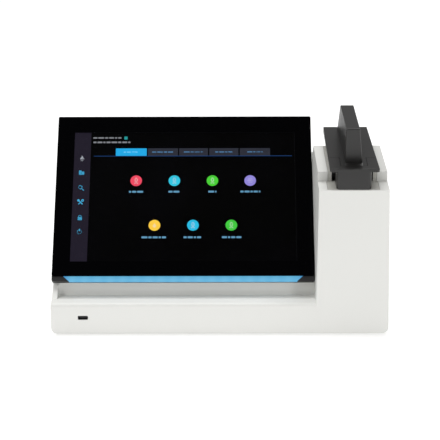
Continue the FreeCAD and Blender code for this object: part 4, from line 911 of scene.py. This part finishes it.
def add_discs(places, v, samples):
    for u, (name, colour, sign) in zip(places, samples):
        lit_piece("picture_disc_" + name, [disc(u, v, DISC_RADIUS, sides=LARGE_ROUND)], colour, DISC_STRENGTH)
        tint = [share * SIGN_TINT + (1 - SIGN_TINT) * SIGN_LIGHT for share in colour[:3]]
        lit_piece("picture_sign_" + name, sign(u, v), (*tint, 1))


def add_name_bars():
    bars = []
    for index, (left, right) in enumerate(UPPER_BARS):
        bars += bar_row(left, right, UPPER_BAR_LINE, NAME_BAR_HIGH, index)
    for index, (left, right) in enumerate(LOWER_BARS):
        bars += bar_row(left, right, LOWER_BAR_LINE, NAME_BAR_HIGH, index + LOWER_BAR_START)
    add_ink("picture_name_bars", bars)


def add_picture():
    add_sidebar()
    add_outline()
    add_side_signs()
    add_title()
    add_tabs()
    add_discs(UPPER_DISCS, UPPER_ROW, UPPER_SAMPLES)
    add_discs(LOWER_DISCS, LOWER_ROW, LOWER_SAMPLES)
    add_name_bars()


# The power switch's printed marks, a bar for on and a ring for off

ROCKER_MIDDLE = 4.6 * MM
ROCKER_TILT = math.radians(8)
MARK_UP = 4.1
MARK_WHITE = paint(226, 226, 222)
ON_WIDE = 0.8
ON_HIGH = 3.6
ON_CORNER = 0.2
OFF_RADIUS = 1.8
OFF_HOLE = 1.1


def rocker_face(side):
    """From flat work to one half of the rocker's face: side is 1 for the upper half and -1 for the lower."""
    joints = {joint["name"]: joint for joint in frame["record"]["behaviour"]["joints"]}
    pivot = Vector(joints["switch_rocker"]["pos_m"])
    lean = (side + 1) * ROCKER_TILT
    up = Vector((0, math.sin(lean), math.cos(lean)))
    across = Vector((-1, 0, 0))
    out = across.cross(up)
    rest = Matrix.Rotation(-ROCKER_TILT, 3, "X")
    middle = pivot + rest @ Vector((0, ROCKER_MIDDLE, 0))
    turn = Matrix((across, up, out)).transposed().to_4x4()
    return Matrix.Translation(middle) @ turn


def add_switch_marks():
    print_white = moulded("switch_print", MARK_WHITE, rough=0.5, grain=2400.0)
    bar = tile(0, MARK_UP, ON_WIDE, ON_HIGH, corner=ON_CORNER)
    joined("switch_on_mark", [bar], print_white, matrix=rocker_face(1), body="rocker")
    ring = disc(0, -MARK_UP, OFF_RADIUS, hole=OFF_HOLE)
    joined("switch_off_mark", [ring], print_white, matrix=rocker_face(-1), body="rocker")


# Floor, daylight and soft lamps

FLOOR_SIDE = 30
FLOOR_DULL = (0.93, 0.93, 0.93, 1)
FLOOR_BRIGHT = (0.96, 0.96, 0.96, 1)
FLOOR_GLOW = 0.3
PLAIN_WHITE = (1, 1, 1, 1)
DAYLIGHT = 0.3


def add_floor():
    clear_picks()
    bpy.ops.mesh.primitive_plane_add(size=FLOOR_SIDE, location=(0, 0, 0))
    floor = bpy.context.object
    floor.name = "studio_floor"
    finish = Finish("studio_floor")
    tone = finish.fade(finish.noise(scale=1.5, detail=3, roughness=0.5))
    surface = finish.shader(
        Base_Color=finish.blend(tone, FLOOR_DULL, FLOOR_BRIGHT),
        Roughness=0.8,
        Specular_IOR_Level=0.2,
        Emission_Color=PLAIN_WHITE,
        Emission_Strength=FLOOR_GLOW,
    )
    floor.data.materials.append(finish.done(surface))


def add_lamp(name, place, target, size, watts):
    """A soft rectangular lamp that faces its target. Places and sizes are in metres."""
    data = bpy.data.lights.new(name, "AREA")
    data.shape = "RECTANGLE"
    data.size, data.size_y = size
    data.energy = watts
    lamp = bpy.data.objects.new(name, data)
    bpy.context.scene.collection.objects.link(lamp)
    lamp.location = place
    lamp.rotation_euler = (Vector(target) - Vector(place)).to_track_quat("-Z", "Y").to_euler()


def add_daylight():
    world = bpy.data.worlds.new("studio")
    bpy.context.scene.world = world
    world.use_nodes = True
    background = world.node_tree.nodes["Background"]
    background.inputs["Color"].default_value = PLAIN_WHITE
    background.inputs["Strength"].default_value = DAYLIGHT


def add_lights():
    add_daylight()
    bpy.context.scene.view_settings.view_transform = "Standard"
    add_lamp("top_soft", place=(-0.1, 0.45, 2.0), target=(0, 0, 0.05), size=(2.4, 1.4), watts=33)
    add_lamp("key_left", place=(-1.3, -1.1, 1.5), target=(0.1, -0.1, 0.1), size=(0.35, 0.35), watts=10)
    add_lamp("right_front", place=(1.45, -1.75, 0.75), target=(0, -0.05, 0.08), size=(0.45, 0.45), watts=9)


add_camera()
dress_nodes()
add_picture()
add_switch_marks()
add_floor()
add_lights()
